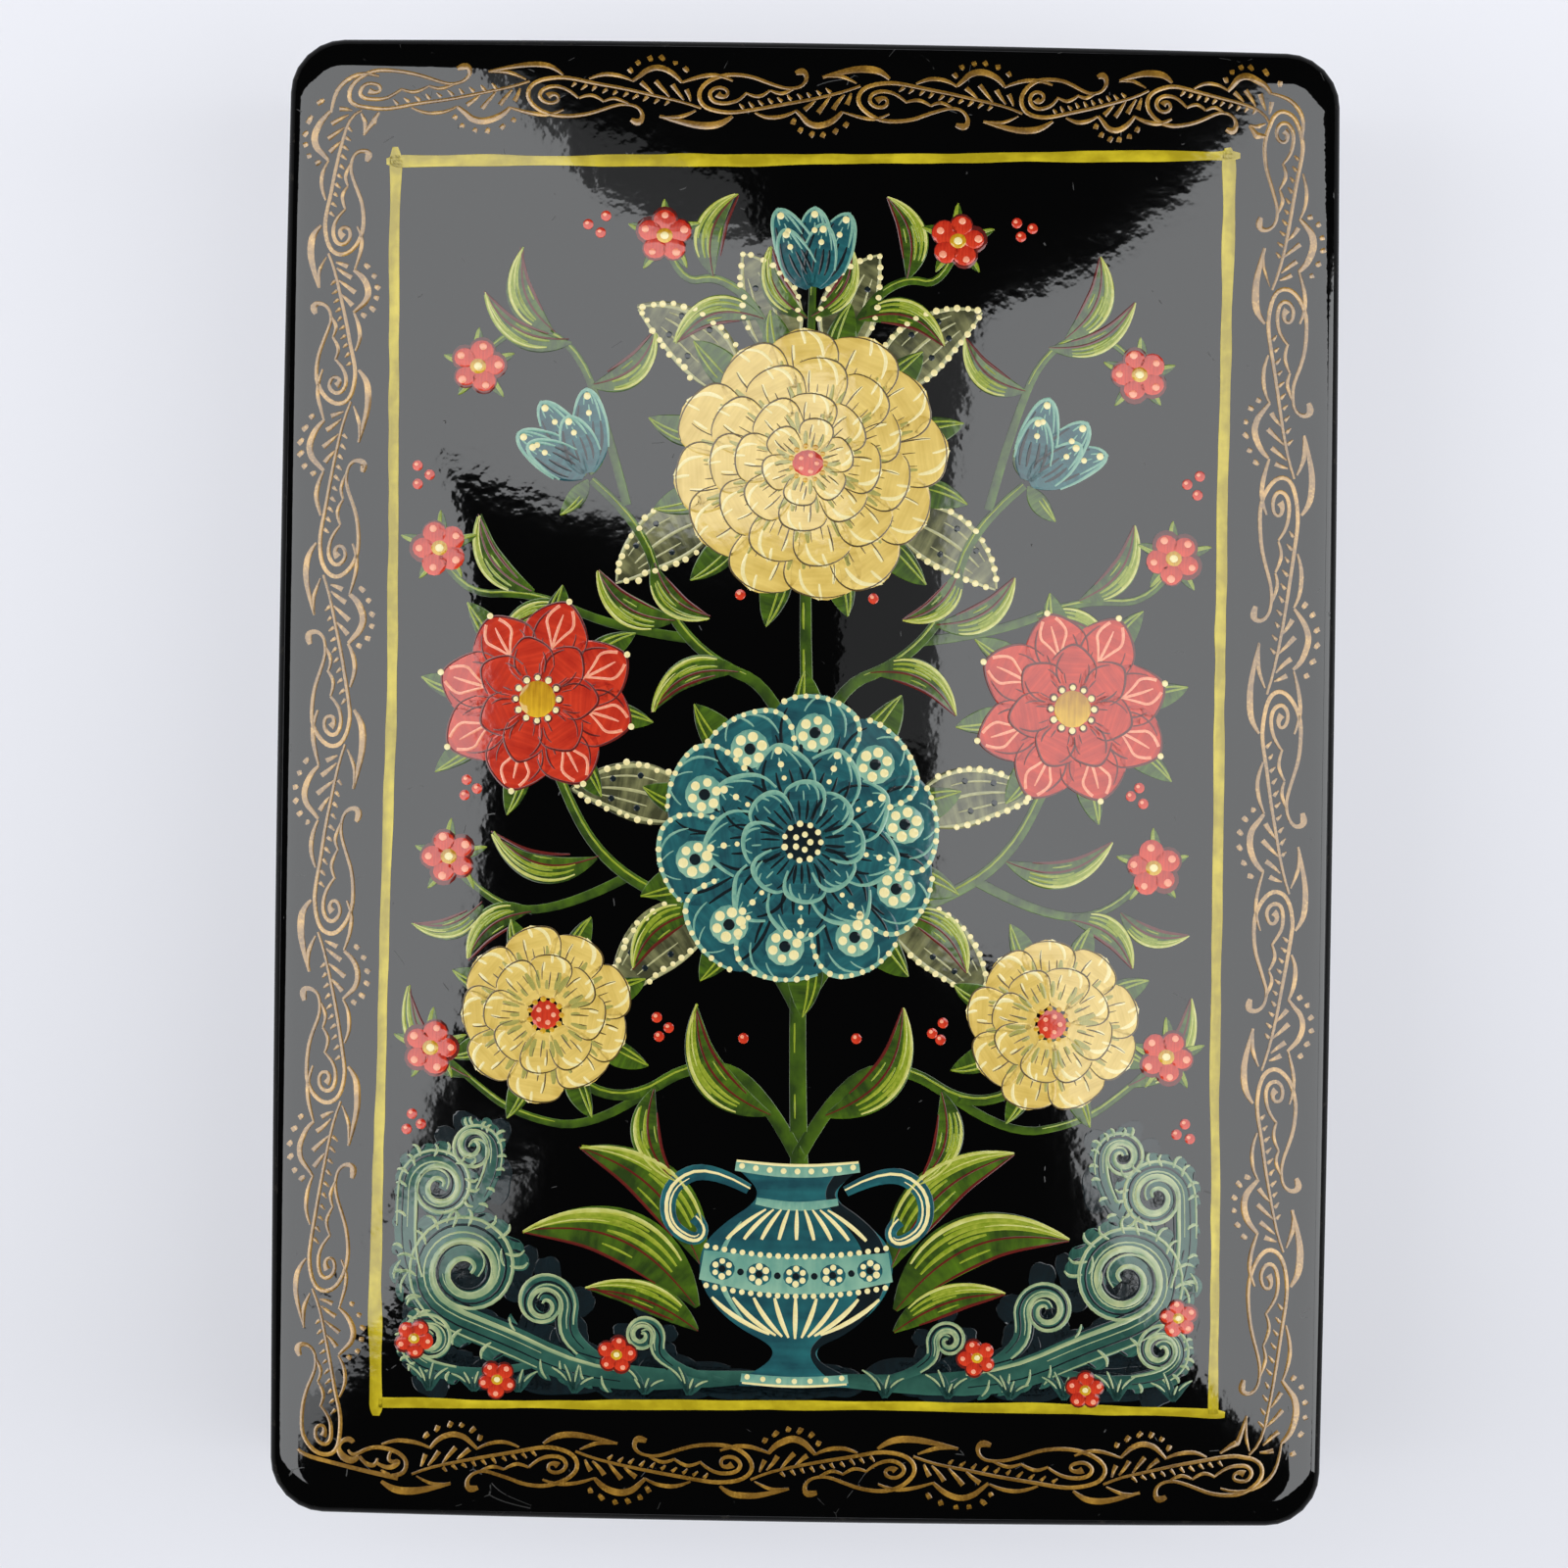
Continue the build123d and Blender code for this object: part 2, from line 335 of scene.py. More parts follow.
core_x, core_y = corner_x - core_inset, corner_y - core_inset
bpy.ops.object.select_all(action="DESELECT")
bpy.ops.mesh.primitive_grid_add(x_subdivisions=round(2 * core_x / grid_pitch),
                                y_subdivisions=round(2 * core_y / grid_pitch), size=2)
panel = bpy.context.active_object
panel.name = "domed_panel"
for vertex in panel.data.vertices:
    x, y = rounded_corner(vertex.co.x * core_x, vertex.co.y * core_y, core_inset)
    vertex.co = (x, y, seat_height)
hollow = into_scene("panel_hollow", panel.data.copy())
for vertex in panel.data.vertices:
    vertex.co.z = dome(*bowed(vertex.co.x, vertex.co.y))
for vertex in hollow.data.vertices:
    vertex.co.z = max(seat_height, dome(*bowed(vertex.co.x, vertex.co.y)) - panel_thickness)

# The rings run from the grid's edge over the shoulder, down the wall and under it to the seat
shoulder_steps = 12
shoulder_angles = [step * pi / 2 / shoulder_steps for step in range(shoulder_steps + 1)]
rings = [(shoulder_width * (1 - sin(angle)), shoulder_drop * (1 - cos(angle)), None)
         for angle in shoulder_angles]
rings += [(0, None, seat_height), (core_inset, None, seat_height)]
bpy.ops.object.mode_set(mode="EDIT")
bpy.ops.mesh.select_mode(type="EDGE")
bpy.ops.mesh.select_all(action="DESELECT")
bpy.ops.mesh.select_non_manifold(extend=False, use_wire=False, use_boundary=True, use_multi_face=False,
                                 use_non_contiguous=False, use_verts=False)
last_inset = core_inset
for inset, drop, height in rings:
    bpy.ops.mesh.extrude_edges_move()
    bpy.ops.object.mode_set(mode="OBJECT")
    for vertex in panel.data.vertices:
        if vertex.select:
            away_x, away_y, reach = outward(vertex.co.x, vertex.co.y)
            x = vertex.co.x + away_x * (last_inset - inset)
            y = vertex.co.y + away_y * (last_inset - inset)
            vertex.co = (x, y, height if drop is None else dome(*bowed(x, y)) - drop)
    last_inset = inset
    bpy.ops.object.mode_set(mode="EDIT")
bpy.ops.object.mode_set(mode="OBJECT")
for half in (panel, hollow):
    half.data.materials.append(black_lacquer)
    half.data.materials.append(red_lacquer)
panel.data.materials.append(rubbed_edge())
for face in hollow.data.polygons:
    face.material_index = 1
take_up(panel)
hollow.select_set(True)
bpy.ops.object.join()
for vertex in panel.data.vertices:
    x, y = bowed(vertex.co.x, vertex.co.y)
    vertex.co = (x * mm, y * mm, vertex.co.z * mm)
bpy.ops.object.mode_set(mode="EDIT")
bpy.ops.mesh.select_all(action="SELECT")
bpy.ops.mesh.remove_doubles(threshold=2 * weld)
bpy.ops.mesh.normals_make_consistent(inside=False)
bpy.ops.object.mode_set(mode="OBJECT")
bpy.ops.object.shade_smooth_by_angle(angle=radians(40))
rubbed_width = 0.6
for face in panel.data.polygons:
    away_x, away_y, reach = outward(*bowed(face.center.x / mm, face.center.y / mm, -1))
    if face.normal.z > 0.03 and reach > corner_radius - rubbed_width:
        face.material_index = 2
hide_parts("lid_panel")
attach(panel, "lid")

# Yellow line: the first thing painted, a hand-drawn frame between the gold border and the picture.
# Egg tempera under the last coats of lacquer: matt colour in streaks, with a wet shine over it.
# One stroke for each side, and they run past each other at the corners.


def brush_print(name, points):
    """The shape that a loaded brush leaves across its stroke, as half-widths and heights of the stroke."""
    outline = bpy.data.curves.new(name, "CURVE")
    outline.dimensions = "2D"
    spline = outline.splines.new("POLY")
    spline.points.add(len(points) - 1)
    for point, (across, up) in zip(spline.points, points):
        point.co = (across, up, 0, 1)
    spline.use_cyclic_u = True
    return into_scene(name, outline)


line_print = brush_print("line_print", [(-1, 0), (-0.6, 0.5), (0.6, 0.5), (1, 0)])
wide_print = brush_print("wide_print", [(-1, 0), (-0.98, 0.3), (-0.9, 0.3), (-0.5, 0.3), (0, 0.3),
                                        (0.5, 0.3), (0.9, 0.3), (0.98, 0.3), (1, 0), (0.5, 0), (0, 0),
                                        (-0.5, 0)])
bead_print = brush_print("bead_print", [(-1, 0), (-0.8, 0.6), (-0.35, 0.95), (0.35, 0.95), (0.8, 0.6),
                                        (1, 0)])


def painted(name, strokes, lift, thickness, brush, material, smoothness=4):
    """One coat of paint on the dome: each stroke is its points and half-widths, in millimetres."""
    line = bpy.data.curves.new(name, "CURVE")
    line.dimensions = "3D"
    line.twist_mode = "Z_UP"
    line.bevel_mode = "OBJECT"
    line.bevel_object = brush
    line.use_fill_caps = True
    line.resolution_u = smoothness
    for points, half_widths in strokes:
        spline = line.splines.new("POLY" if brush is bead_print else "NURBS")
        spline.points.add(len(points) - 1)
        for point, (x, y), thick in zip(spline.points, points, half_widths):
            point.co = (x, y, 0, 1)
            point.radius = thick
        if brush is not bead_print:
            spline.order_u = min(3, len(points))
            spline.use_endpoint_u = True
    coat = into_scene(name, line)
    take_up(coat)
    bpy.ops.object.convert(target="MESH")
    for vertex in coat.data.vertices:
        x, y, bead = vertex.co
        vertex.co = (x * mm, y * mm, (lid_face(x, y) + lift + min(max(bead, 0), thickness)) * mm)
    merge_points(0.4 * weld)
    bpy.ops.object.shade_smooth_by_angle(angle=radians(50))
    coat.data.materials.append(material)
    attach(coat, "lid")
    return coat


def tempera(name, root, tip, streak=0.35, turn=0.5):
    """Egg tempera under clear lacquer: root and tip are its colours where a stroke starts and ends."""
    material, shader = new_material(name)
    coat = polished_coat(material)
    stroke_map = add_node(material, "UVMap", uv_map="UVMap")
    lengthwise = add_node(material, "SeparateXYZ", (stroke_map,), "Y")
    bristles = add_node(material, "Mapping", {"Vector": stroke_map, "Scale": (14, 1.5, 1)})
    hairs = add_node(material, "TexNoise", {"Vector": bristles, "Scale": 1.0, "Detail": 3.0})
    hair_marks = add_node(material, "MapRange", (hairs, 0.25, 0.75, -streak, streak))
    load = add_node(material, "TexNoise", {"Vector": coat["place"], "Scale": 1 / (1.6 * mm), "Detail": 4.0})
    load_marks = add_node(material, "MapRange", (load, 0.3, 0.7, -streak / 2, streak / 2))
    marks = add_node(material, "Math", (hair_marks, load_marks), operation="ADD")
    run = add_node(material, "MapRange", (lengthwise, turn - 0.5, turn + 0.5, 0, 1))
    graded = add_node(material, "Math", (marks, run), operation="ADD", use_clamp=True)
    pigment = add_node(material, "Mix", {0: graded, 6: color(root), 7: color(tip)}, 2, data_type="RGBA")
    feed(material, shader, {"Base Color": pigment, "Roughness": 0.5, "Specular IOR Level": 0.08,
                            "Coat Weight": 1.0, "Coat Roughness": 0.05, "Normal": coat["relief"],
                            "Coat Normal": coat["relief"]})
    return material


hand = random.Random(11)


def unsteady(anchors, step, sway, swell):
    """A long stroke through anchors of x, y and half-width, with the small sway and swell of a hand."""
    points, half_widths = [], []
    for (x0, y0, thick_0), (x1, y1, thick_1) in zip(anchors, anchors[1:]):
        count = max(1, round(hypot(x1 - x0, y1 - y0) / step))
        for place in range(count):
            share = place / count
            points.append((x0 + (x1 - x0) * share + hand.uniform(-sway, sway),
                           y0 + (y1 - y0) * share + hand.uniform(-sway, sway)))
            half_widths.append((thick_0 + (thick_1 - thick_0) * share) * hand.uniform(1 - swell, 1 + swell))
    return points + [anchors[-1][:2]], half_widths + [anchors[-1][2]]


frame_anchors = [
    [(-40.3, 57.9, 0.25), (-39.6, 57.95, 0.6), (-38.8, 57.95, 0.58), (-35, 58.05, 0.55), (-25, 58.15, 0.5),
     (-12, 58.35, 0.62), (-3, 58.5, 0.56), (4, 58.7, 0.5), (10, 58.85, 0.45), (18, 59.1, 0.46),
     (25, 59.3, 0.5), (32, 59.5, 0.5), (37.7, 59.6, 0.42), (39.3, 59.65, 0.6), (40.1, 59.65, 0.25)],
    [(38.9, 60.4, 0.3), (39.0, 59.6, 0.74), (39.05, 56, 0.62), (39.1, 52, 0.58), (39.0, 44, 0.52),
     (38.85, 30, 0.54), (38.8, 17, 0.52), (38.8, 5, 0.5), (38.87, -15, 0.48), (38.9, -29, 0.46),
     (39.15, -38, 0.42), (39.27, -50, 0.42), (39.3, -58.9, 0.5)],
    [(40.4, -58.95, 0.25), (39.8, -58.9, 0.55), (34, -58.7, 0.42), (26.5, -58.55, 0.5), (12, -58.5, 0.46),
     (-3, -58.6, 0.44), (-17, -58.8, 0.46), (-25, -58.9, 0.38), (-33.5, -58.95, 0.46), (-38.5, -58.95, 0.54),
     (-39.3, -58.95, 0.5)],
    [(-39.55, -60.2, 0.3), (-39.55, -59.6, 0.62), (-39.6, -58.2, 0.6), (-39.7, -54.5, 0.58),
     (-39.75, -52, 0.7), (-39.8, -48, 0.64), (-39.7, -39.4, 0.5), (-39.5, -30, 0.48), (-39.3, -12, 0.46),
     (-39.0, 7, 0.5), (-39.0, 16, 0.48), (-39.15, 30, 0.5), (-39.33, 43.5, 0.48), (-39.43, 51, 0.46),
     (-39.4, 56.5, 0.5), (-39.45, 58.3, 0.6), (-39.5, 59.3, 0.25)]]
frame_strokes = [unsteady(anchors, 2.6, 0.05, 0.13) for anchors in frame_anchors]
yellow = tempera("yellow_ochre_tempera", "#a08e0a", "#cbb722", 0.7)
first_lift = 0.012  # of the lowest paint over the lacquer, in millimetres
line_thickness = 0.02
painted("yellow_line", frame_strokes, first_lift, line_thickness, wide_print, yellow, 6)

# Gold border: one vine that grows round the lid, a wave with a curl, an acanthus edge and dots at each crest.
# Gold powder bound in gum, laid with a fine brush: soft metal grains, thinned to brown at a stroke's edges.
band_inset = 5.5
band_corner = 3.0
band_x, band_y = half_width - band_inset, half_length - band_inset
crests = [("BR", 0, -1), ("right", -43.6, 1), ("right", -26.5, -1), ("right", -9.8, 1), ("right", 9.0, -1),
          ("right", 29.2, 1), ("right", 47.0, -1), ("TR", 0, 1), ("top", 31.4, 1), ("top", 19.5, -1),
          ("top", 4.2, 1), ("top", -10.8, -1), ("top", -26.9, 1), ("TL", 0, -1), ("left", 49.2, 1),
          ("left", 35.2, -1), ("left", 18.9, 1), ("left", 2.9, -1), ("left", -14.7, 1), ("left", -30.6, -1),
          ("left", -48.4, 1), ("BL", 0, -1), ("bottom", -36.1, 1), ("bottom", -20.7, -1), ("bottom", -4.2, 1),
          ("bottom", 11.1, -1), ("bottom", 29.0, 1), ("BR", 0, -1)]
run_x, run_y = 2 * (band_x - band_corner), 2 * (band_y - band_corner)
bend = band_corner * pi / 2
side_starts = {"BR": -bend / 2, "right": 0, "TR": run_y + bend / 2, "top": run_y + bend,
               "TL": run_y + run_x + 1.5 * bend, "left": run_y + run_x + 2 * bend,
               "BL": 2 * run_y + run_x + 2.5 * bend, "bottom": 2 * run_y + run_x + 3 * bend}
round_trip = 2 * run_x + 2 * run_y + 4 * bend


def band_station(side, place):
    """How far along the band a place on one side lies, from the lower end of the right side."""
    reach_x, reach_y = run_x / 2, run_y / 2
    ahead = {"right": place + reach_y, "top": reach_x - place, "left": reach_y - place,
             "bottom": place + reach_x}
    return side_starts[side] + ahead.get(side, 0)


def on_band(station, offset):
    """The point at a station of the band, offset outwards."""
    station %= round_trip
    corner = 0
    for run in (run_y, run_x, run_y, run_x):
        if station <= run + bend:
            break
        station -= run + bend
        corner += 1
    turn = corner * pi / 2
    half_run, far_side = (run_y / 2, band_x) if corner % 2 == 0 else (run_x / 2, band_y)
    if station <= run:
        along, out = station - half_run, far_side + offset
    else:
        angle = (station - run) / band_corner
        along = half_run + (band_corner + offset) * sin(angle)
        out = far_side - band_corner + (band_corner + offset) * cos(angle)
    return out * cos(turn) - along * sin(turn), out * sin(turn) + along * cos(turn)


# One half wave, in millimetres along the band and out from its middle
motif_length = 14
stem = [(0, -1.2), (1.3, -0.6), (4.05, 0.1), (6.3, 0.6), (8.7, 1.07), (10.5, 1.5), (11.7, 1.6), (13.2, 1.3),
        (14.05, 0.65), (14.2, -0.4), (13.45, -1.4), (12.3, -2.0), (11.1, -2.15), (9.5, -1.95), (8.3, -1.5),
        (7.1, -1.0), (6.2, -0.8), (5.2, -1.0), (4.7, -1.67), (4.76, -2.4), (5.2, -2.6), (5.7, -2.35)]
lobes = [[(-2.6, 1.5), (-1.6, 2.0), (-0.4, 1.95), (0.6, 1.7), (1.55, 1.3)],
         [(1.55, 1.3), (1.9, 1.8), (2.6, 2.4), (3.6, 2.75), (4.5, 2.45), (5.0, 1.9), (5.6, 1.3)],
         [(5.6, 1.3), (6.3, 1.75), (7.5, 1.98), (8.45, 1.87), (9.2, 1.5)]]
crest_dots = [(1.2, 2.5), (2.1, 3.15), (3.2, 3.55), (4.2, 3.5), (5.2, 3.1), (5.8, 2.3)]
inner_dabs = [[(0.8, -0.5), (0.95, 0.1), (1.2, 0.65)], [(1.4, -0.35), (1.9, 0.3), (2.3, 1.05)],
              [(2.6, -0.15), (3.1, 0.6), (3.7, 1.4)], [(3.9, 0.2), (4.3, 0.7), (4.9, 1.2)]]
almond_leaf = [[(-2.6, -1.9), (-1.9, -2.6), (-0.7, -2.85), (1, -2.75), (3.3, -2.0)],
               [(0.35, -1.4), (1.2, -1.9), (2.1, -2.15), (3.3, -2.0)]]
scallops = [[(5.9, -0.85), (6.6, -0.4), (7.3, -0.3), (7.9, -0.6)],
            [(7.9, -0.6), (8.5, -0.15), (9.3, 0.0), (10.0, -0.35)]]
spiral = [(10.0, -0.35), (10.5, 0.2), (11.3, 0.65), (12.3, 0.75), (13.1, 0.4), (13.25, -0.35), (12.6, -0.95),
          (11.7, -0.75), (11.6, -0.1), (12.2, 0.15), (12.55, -0.2)]


def tapered(count, full, start=0.35, end=0.35):
    """Half-widths of a stroke that swells in its middle."""
    shares = [sin(pi * place / (count - 1)) for place in range(count)]
    ends = [start + (end - start) * place / (count - 1) for place in range(count)]
    return [full * (low + (1 - low) * share) for share, low in zip(shares, ends)]


def vine_half(first, last):
    """The strokes of one half wave of the vine, from crest to crest."""
    start, end = band_station(*first[:2]), band_station(*last[:2])
    stretch = ((end - start) % round_trip) / motif_length
    out = last[2]

    def place(points):
        return [on_band(start + (s + hand.uniform(-0.05, 0.05)) * stretch,
                        out * (v + hand.uniform(-0.06, 0.06))) for s, v in points]

    strokes = [(place(stem), tapered(len(stem) - 4, 0.2, 0.6, 0.7) + [0.18, 0.25, 0.37, 0.2]),
               (place(spiral), tapered(len(spiral) - 2, 0.19, 0.6, 0.8) + [0.22, 0.35])]
    for lobe, thick in zip(lobes, (0.2, 0.3, 0.2)):
        strokes.append((place(lobe), tapered(len(lobe), thick * hand.uniform(0.85, 1.15), 0.5, 0.5)))
    for leaf_edge, thick in zip(almond_leaf, (0.32, 0.19)):
        strokes.append((place(leaf_edge), tapered(len(leaf_edge), thick * hand.uniform(0.8, 1.2), 0.4, 0.4)))
    for scallop in scallops:
        strokes.append((place(scallop), tapered(len(scallop), 0.18, 0.6, 0.6)))
    for dab in inner_dabs:
        strokes.append((place(dab), [0.09, 0.19, 0.24]))
    for s, v in crest_dots:
        lean = hand.uniform(0.05, 0.2)
        strokes.append((place([(s - lean, v - 0.22), (s, v), (s + lean, v + 0.24)]), [0.15, 0.28, 0.22]))
    # Ticks hang from the stem, which climbs by about a fifth
    for tick in range(10):
        s = 2.6 + tick * 0.85
        v = 0.1 + (s - 4.05) * 0.21
        tick_line = [(s, v - 0.26), (s + 0.2, v - 0.48), (s + 0.38, v - 0.72)]
        strokes.append((place(tick_line), [0.17, 0.16, 0.07]))
    return strokes


middle_of_print = 0.375  # of the way round line_print, where its top is halfway across


def gold_powder():
    material, shader = new_material("powdered_gold_brushed")
    coat = polished_coat(material)
    place = coat["place"]
    stroke_map = add_node(material, "UVMap", uv_map="UVMap")
    across = add_node(material, "SeparateXYZ", (stroke_map,), "X")
    off_middle = add_node(material, "Math", (across, middle_of_print), operation="SUBTRACT")
    to_edge = add_node(material, "Math", (off_middle,), operation="ABSOLUTE")
    thin = add_node(material, "MapRange", (to_edge, 0.08, 0.22, 0, 0.5))
    grains = add_node(material, "TexNoise", {"Vector": place, "Scale": 1 / (0.25 * mm), "Detail": 3.0})
    load = add_node(material, "TexNoise", {"Vector": place, "Scale": 1 / (1.9 * mm), "Detail": 3.0})
    loaded = add_node(material, "MapRange", (load, 0.36, 0.62, 0, 1))
    rich = add_node(material, "Mix", {0: loaded, 6: color("#775414"), 7: color("#a67b2d")}, 2,
                    data_type="RGBA")
    bright = add_node(material, "MapRange", (grains, 0.48, 0.72, 0, 0.6))
    grained = add_node(material, "Mix", {0: bright, 6: rich, 7: color("#c89d46")}, 2, data_type="RGBA")
    surface = add_node(material, "Mix", {0: thin, 6: grained, 7: color("#543710")}, 2, data_type="RGBA")
    grain_relief = add_node(material, "Bump", {"Height": grains, "Strength": 0.5, "Distance": 0.01 * mm,
                                               "Normal": coat["relief"]})
    feed(material, shader, {"Base Color": surface, "Metallic": 0.15, "Roughness": 0.2,
                            "Specular IOR Level": 0.5, "Coat Weight": 1.0, "Coat Roughness": 0.05,
                            "Normal": grain_relief, "Coat Normal": coat["relief"]})
    return material


gold = gold_powder()
vine = []
for first, last in zip(crests, crests[1:]):
    if (first[0], last[0]) != ("BL", "bottom"):
        vine += vine_half(first, last)
# The vine starts at the lower left corner: a bare stem, and over it a hook that runs on into a scalloped curl
vine += [([(-46.9, -63.5), (-46.6, -64.0), (-43.6, -64.75), (-39.8, -65.65), (-37.4, -66.1)],
          [0.14, 0.2, 0.19, 0.2, 0.24]),
         ([(-41.65, -62.8), (-41.9, -62.45), (-42.6, -62.55), (-43.1, -63.1), (-43.0, -63.65), (-42.6, -64.2),
           (-42.0, -64.5), (-41.5, -64.45), (-41.1, -64.1)],
          [0.2, 0.3, 0.2, 0.2, 0.26, 0.36, 0.34, 0.28, 0.16]),
         ([(-42.15, -63.5), (-41.9, -64.0), (-41.2, -63.85), (-40.5, -63.4), (-39.4, -63.15), (-38.1, -63.4),
           (-37.2, -63.8), (-36.6, -64.5), (-36.7, -65.3), (-37.2, -65.8), (-38.0, -65.9)],
          [0.1, 0.18, 0.17, 0.18, 0.19, 0.2, 0.2, 0.2, 0.2, 0.22, 0.2]),
         ([(-41.1, -64.1), (-40.7, -64.6), (-40.1, -64.95), (-39.5, -64.9), (-39.35, -64.25)],
          [0.16, 0.18, 0.22, 0.2, 0.1]),
         ([(-39.5, -64.65), (-38.85, -65.05), (-38.1, -65.15), (-37.5, -64.8), (-37.35, -64.45),
           (-38.0, -64.65), (-38.45, -64.2), (-38.1, -63.6)],
          [0.14, 0.19, 0.22, 0.24, 0.2, 0.2, 0.17, 0.14]),
         ([(-39.0, -65.35), (-38.7, -65.65), (-38.2, -65.8)], [0.1, 0.18, 0.16])]
gold_thickness = 0.012
painted("gold_border", vine, first_lift, gold_thickness, line_print, gold, 3)

# Picture, ground: a dark water-blue wash along the foot, with tufts of grass on it.
# Tempera again. From here on each coat lies a little over the one before, as a painter builds a picture up.
# The wash is laid in short dabs, and it is nearly as dark as the lacquer.
first_coat = 0.01  # height of the lowest coat over the lid's face
coat_step = 0.006
coat_thickness = 0.005
picture_scale = 0.985
picture_shift = (-0.2, 0.35)  # with the scale, this sets the picture inside the yellow line
leaf_shape = (0.1, 0.5, 0.92, 1.0, 0.78, 0.4, 0.03)
blade_shares = (0, 0.1, 0.3, 0.5, 0.7, 0.9, 1.0)
full_turn = 2 * pi


def bowed_line(root, tip, bow, shares):
    """Points from root to tip at the given shares, bowed sideways by a share of the length."""
    (x0, y0), (x1, y1) = root, tip
    return [(x0 + (x1 - x0) * t - (y1 - y0) * bow * 4 * t * (1 - t),
             y0 + (y1 - y0) * t + (x1 - x0) * bow * 4 * t * (1 - t)) for t in shares]


def blade(root, tip, bow, thick, shape=leaf_shape):
    """A leaf or a petal laid in one press of the brush."""
    return bowed_line(root, tip, bow, blade_shares), [thick * share for share in shape]


def spot(wide, place, side):
    """A point of a wide stroke: place counts along it, and side is -1 at its right edge and 1 at its left."""
    points, half_widths = wide
    before, after = points[max(place - 1, 0)], points[min(place + 1, len(points) - 1)]
    way_x, way_y = after[0] - before[0], after[1] - before[1]
    off = side * half_widths[place] / hypot(way_x, way_y)
    return points[place][0] - way_y * off, points[place][1] + way_x * off


def halfway(start, end):
    return (start[0] + end[0]) / 2, (start[1] + end[1]) / 2


def along(wide, side, first, last, thick):
    """A fine stroke that follows a wide one. Where it stops short, it ends on the wide one's own curve."""
    line = [spot(wide, place, side) for place in range(first, last + 1)]
    if first > 0:
        line[0] = halfway(line[0], line[1])
    if last < len(wide[0]) - 1:
        line[-1] = halfway(line[-2], line[-1])
    return line, tapered(len(line), thick, 0.4, 0.4)


def eased(line, steps=4):
    """A line rounded at each of its points, as a stroke of the brush is."""
    points = [line[0]]
    for place in range(1, len(line) - 1):
        start = line[0] if place == 1 else halfway(line[place - 1], line[place])
        end = line[-1] if place == len(line) - 2 else halfway(line[place], line[place + 1])
        for step in range(1, steps + 1):
            t = step / steps
            near, far = (1 - t) ** 2, t ** 2
            points.append((near * start[0] + 2 * t * (1 - t) * line[place][0] + far * end[0],
                           near * start[1] + 2 * t * (1 - t) * line[place][1] + far * end[1]))
    return points


def disc(x, y, radius):
    """A round dot: the brush set down and lifted."""
    steps = (-0.98, -0.8, -0.42, 0, 0.42, 0.8, 0.98)
    return [(x + radius * step, y) for step in steps], [radius * sqrt(1 - step * step) for step in steps]


def wreath(x, y, reach, count, radius, turn=0.0):
    """Dots set round a centre."""
    angles = [turn + full_turn * place / count for place in range(count)]
    return [disc(x + reach * cos(angle), y + reach * sin(angle), radius * hand.uniform(0.88, 1.1))
            for angle in angles]


def beads(line, spacing, radius):
    """Dots set along a line, as evenly as a hand sets them."""
    dots, walked = [], spacing / 2
    for (x0, y0), (x1, y1) in zip(line, line[1:]):
        leg = hypot(x1 - x0, y1 - y0)
        while walked < leg:
            share = walked / leg
            x, y = x0 + (x1 - x0) * share, y0 + (y1 - y0) * share
            dots.append(disc(x, y, radius * hand.uniform(0.85, 1.1)))
            walked += spacing * hand.uniform(0.92, 1.08)
        walked -= leg
    return dots


def both_sides(strokes, wobble=0.2):
    """The strokes as painted on the right, and again mirrored on the left with the hand's own small error."""
    mirrored = []
    for points, half_widths in strokes:
        shift_x, shift_y = hand.uniform(-wobble, wobble), hand.uniform(-wobble, wobble)
        mirrored.append(([(shift_x - x, y + shift_y) for x, y in points], half_widths))
    return strokes + mirrored


def lay_coat(name, strokes, level, material, brush=None, thickness=coat_thickness, smoothness=4):
    """One coat of the picture, at its level in the stack of coats."""
    shift_x, shift_y = picture_shift
    placed = [([(x * picture_scale + shift_x, y * picture_scale + shift_y) for x, y in points], half_widths)
              for points, half_widths in strokes]
    lift = first_coat + level * coat_step
    return painted(name, placed, lift, thickness, brush or wide_print, material, smoothness)


navy = tempera("navy_tempera_wash", "#010c10", "#03181e", 0.5)
deep_teal = tempera("deep_teal_tempera", "#133733", "#285247", 0.4)
sage = tempera("sage_tempera", "#6f8a66", "#b9bd8a", 0.4)
dab_shape = (0.5, 0.9, 1, 0.9, 1, 0.8, 0.4)
wash_edge = 38.4
grass_foot = -59.0
wash_count = 46
washes = []
for place in range(wash_count):
    x = hand.uniform(-37.5, 37.5)
    rise = 1.5 + 5.0 * min(1, abs(x) / 34) ** 2
    y = -58.4 + hand.uniform(0, rise)
    reach = hand.uniform(2.5, 4.5)
    lean = hand.uniform(-0.5, 0.5)
    root = (max(-wash_edge, x - reach), y - lean * 0.5)
    tip = (min(wash_edge, x + reach), y + lean * 0.5)
    washes.append(blade(root, tip, hand.uniform(-0.12, 0.12), hand.uniform(0.9, 1.5), dab_shape))
tufts, tuft_lights = [], []
for place in (-35.5, -30.6, -26.0, -21.4, -14.5, -9.6, 9.2, 14.8, 20.3, 26.2, 31.0, 36.2):
    x = place + hand.uniform(-0.7, 0.7)
    for lean in (-2.2, -1.0, 0.4, 1.8):
        height = hand.uniform(1.4, 2.9)
        tuft = blade((x + lean * 0.1, grass_foot), (x + lean, grass_foot + height), 0.07 * lean, 0.36)
        tufts.append(tuft)
        tuft_lights.append(along(tuft, 0.25, 2, 6, 0.13))

# Picture, scroll leaves: curling teal leaves that spring from the foot of the urn and fill the lower corners.
# Each is one long stroke that winds into a curl. Its back is scalloped and its edges are lit with sage green,
# and navy lies in the folds.


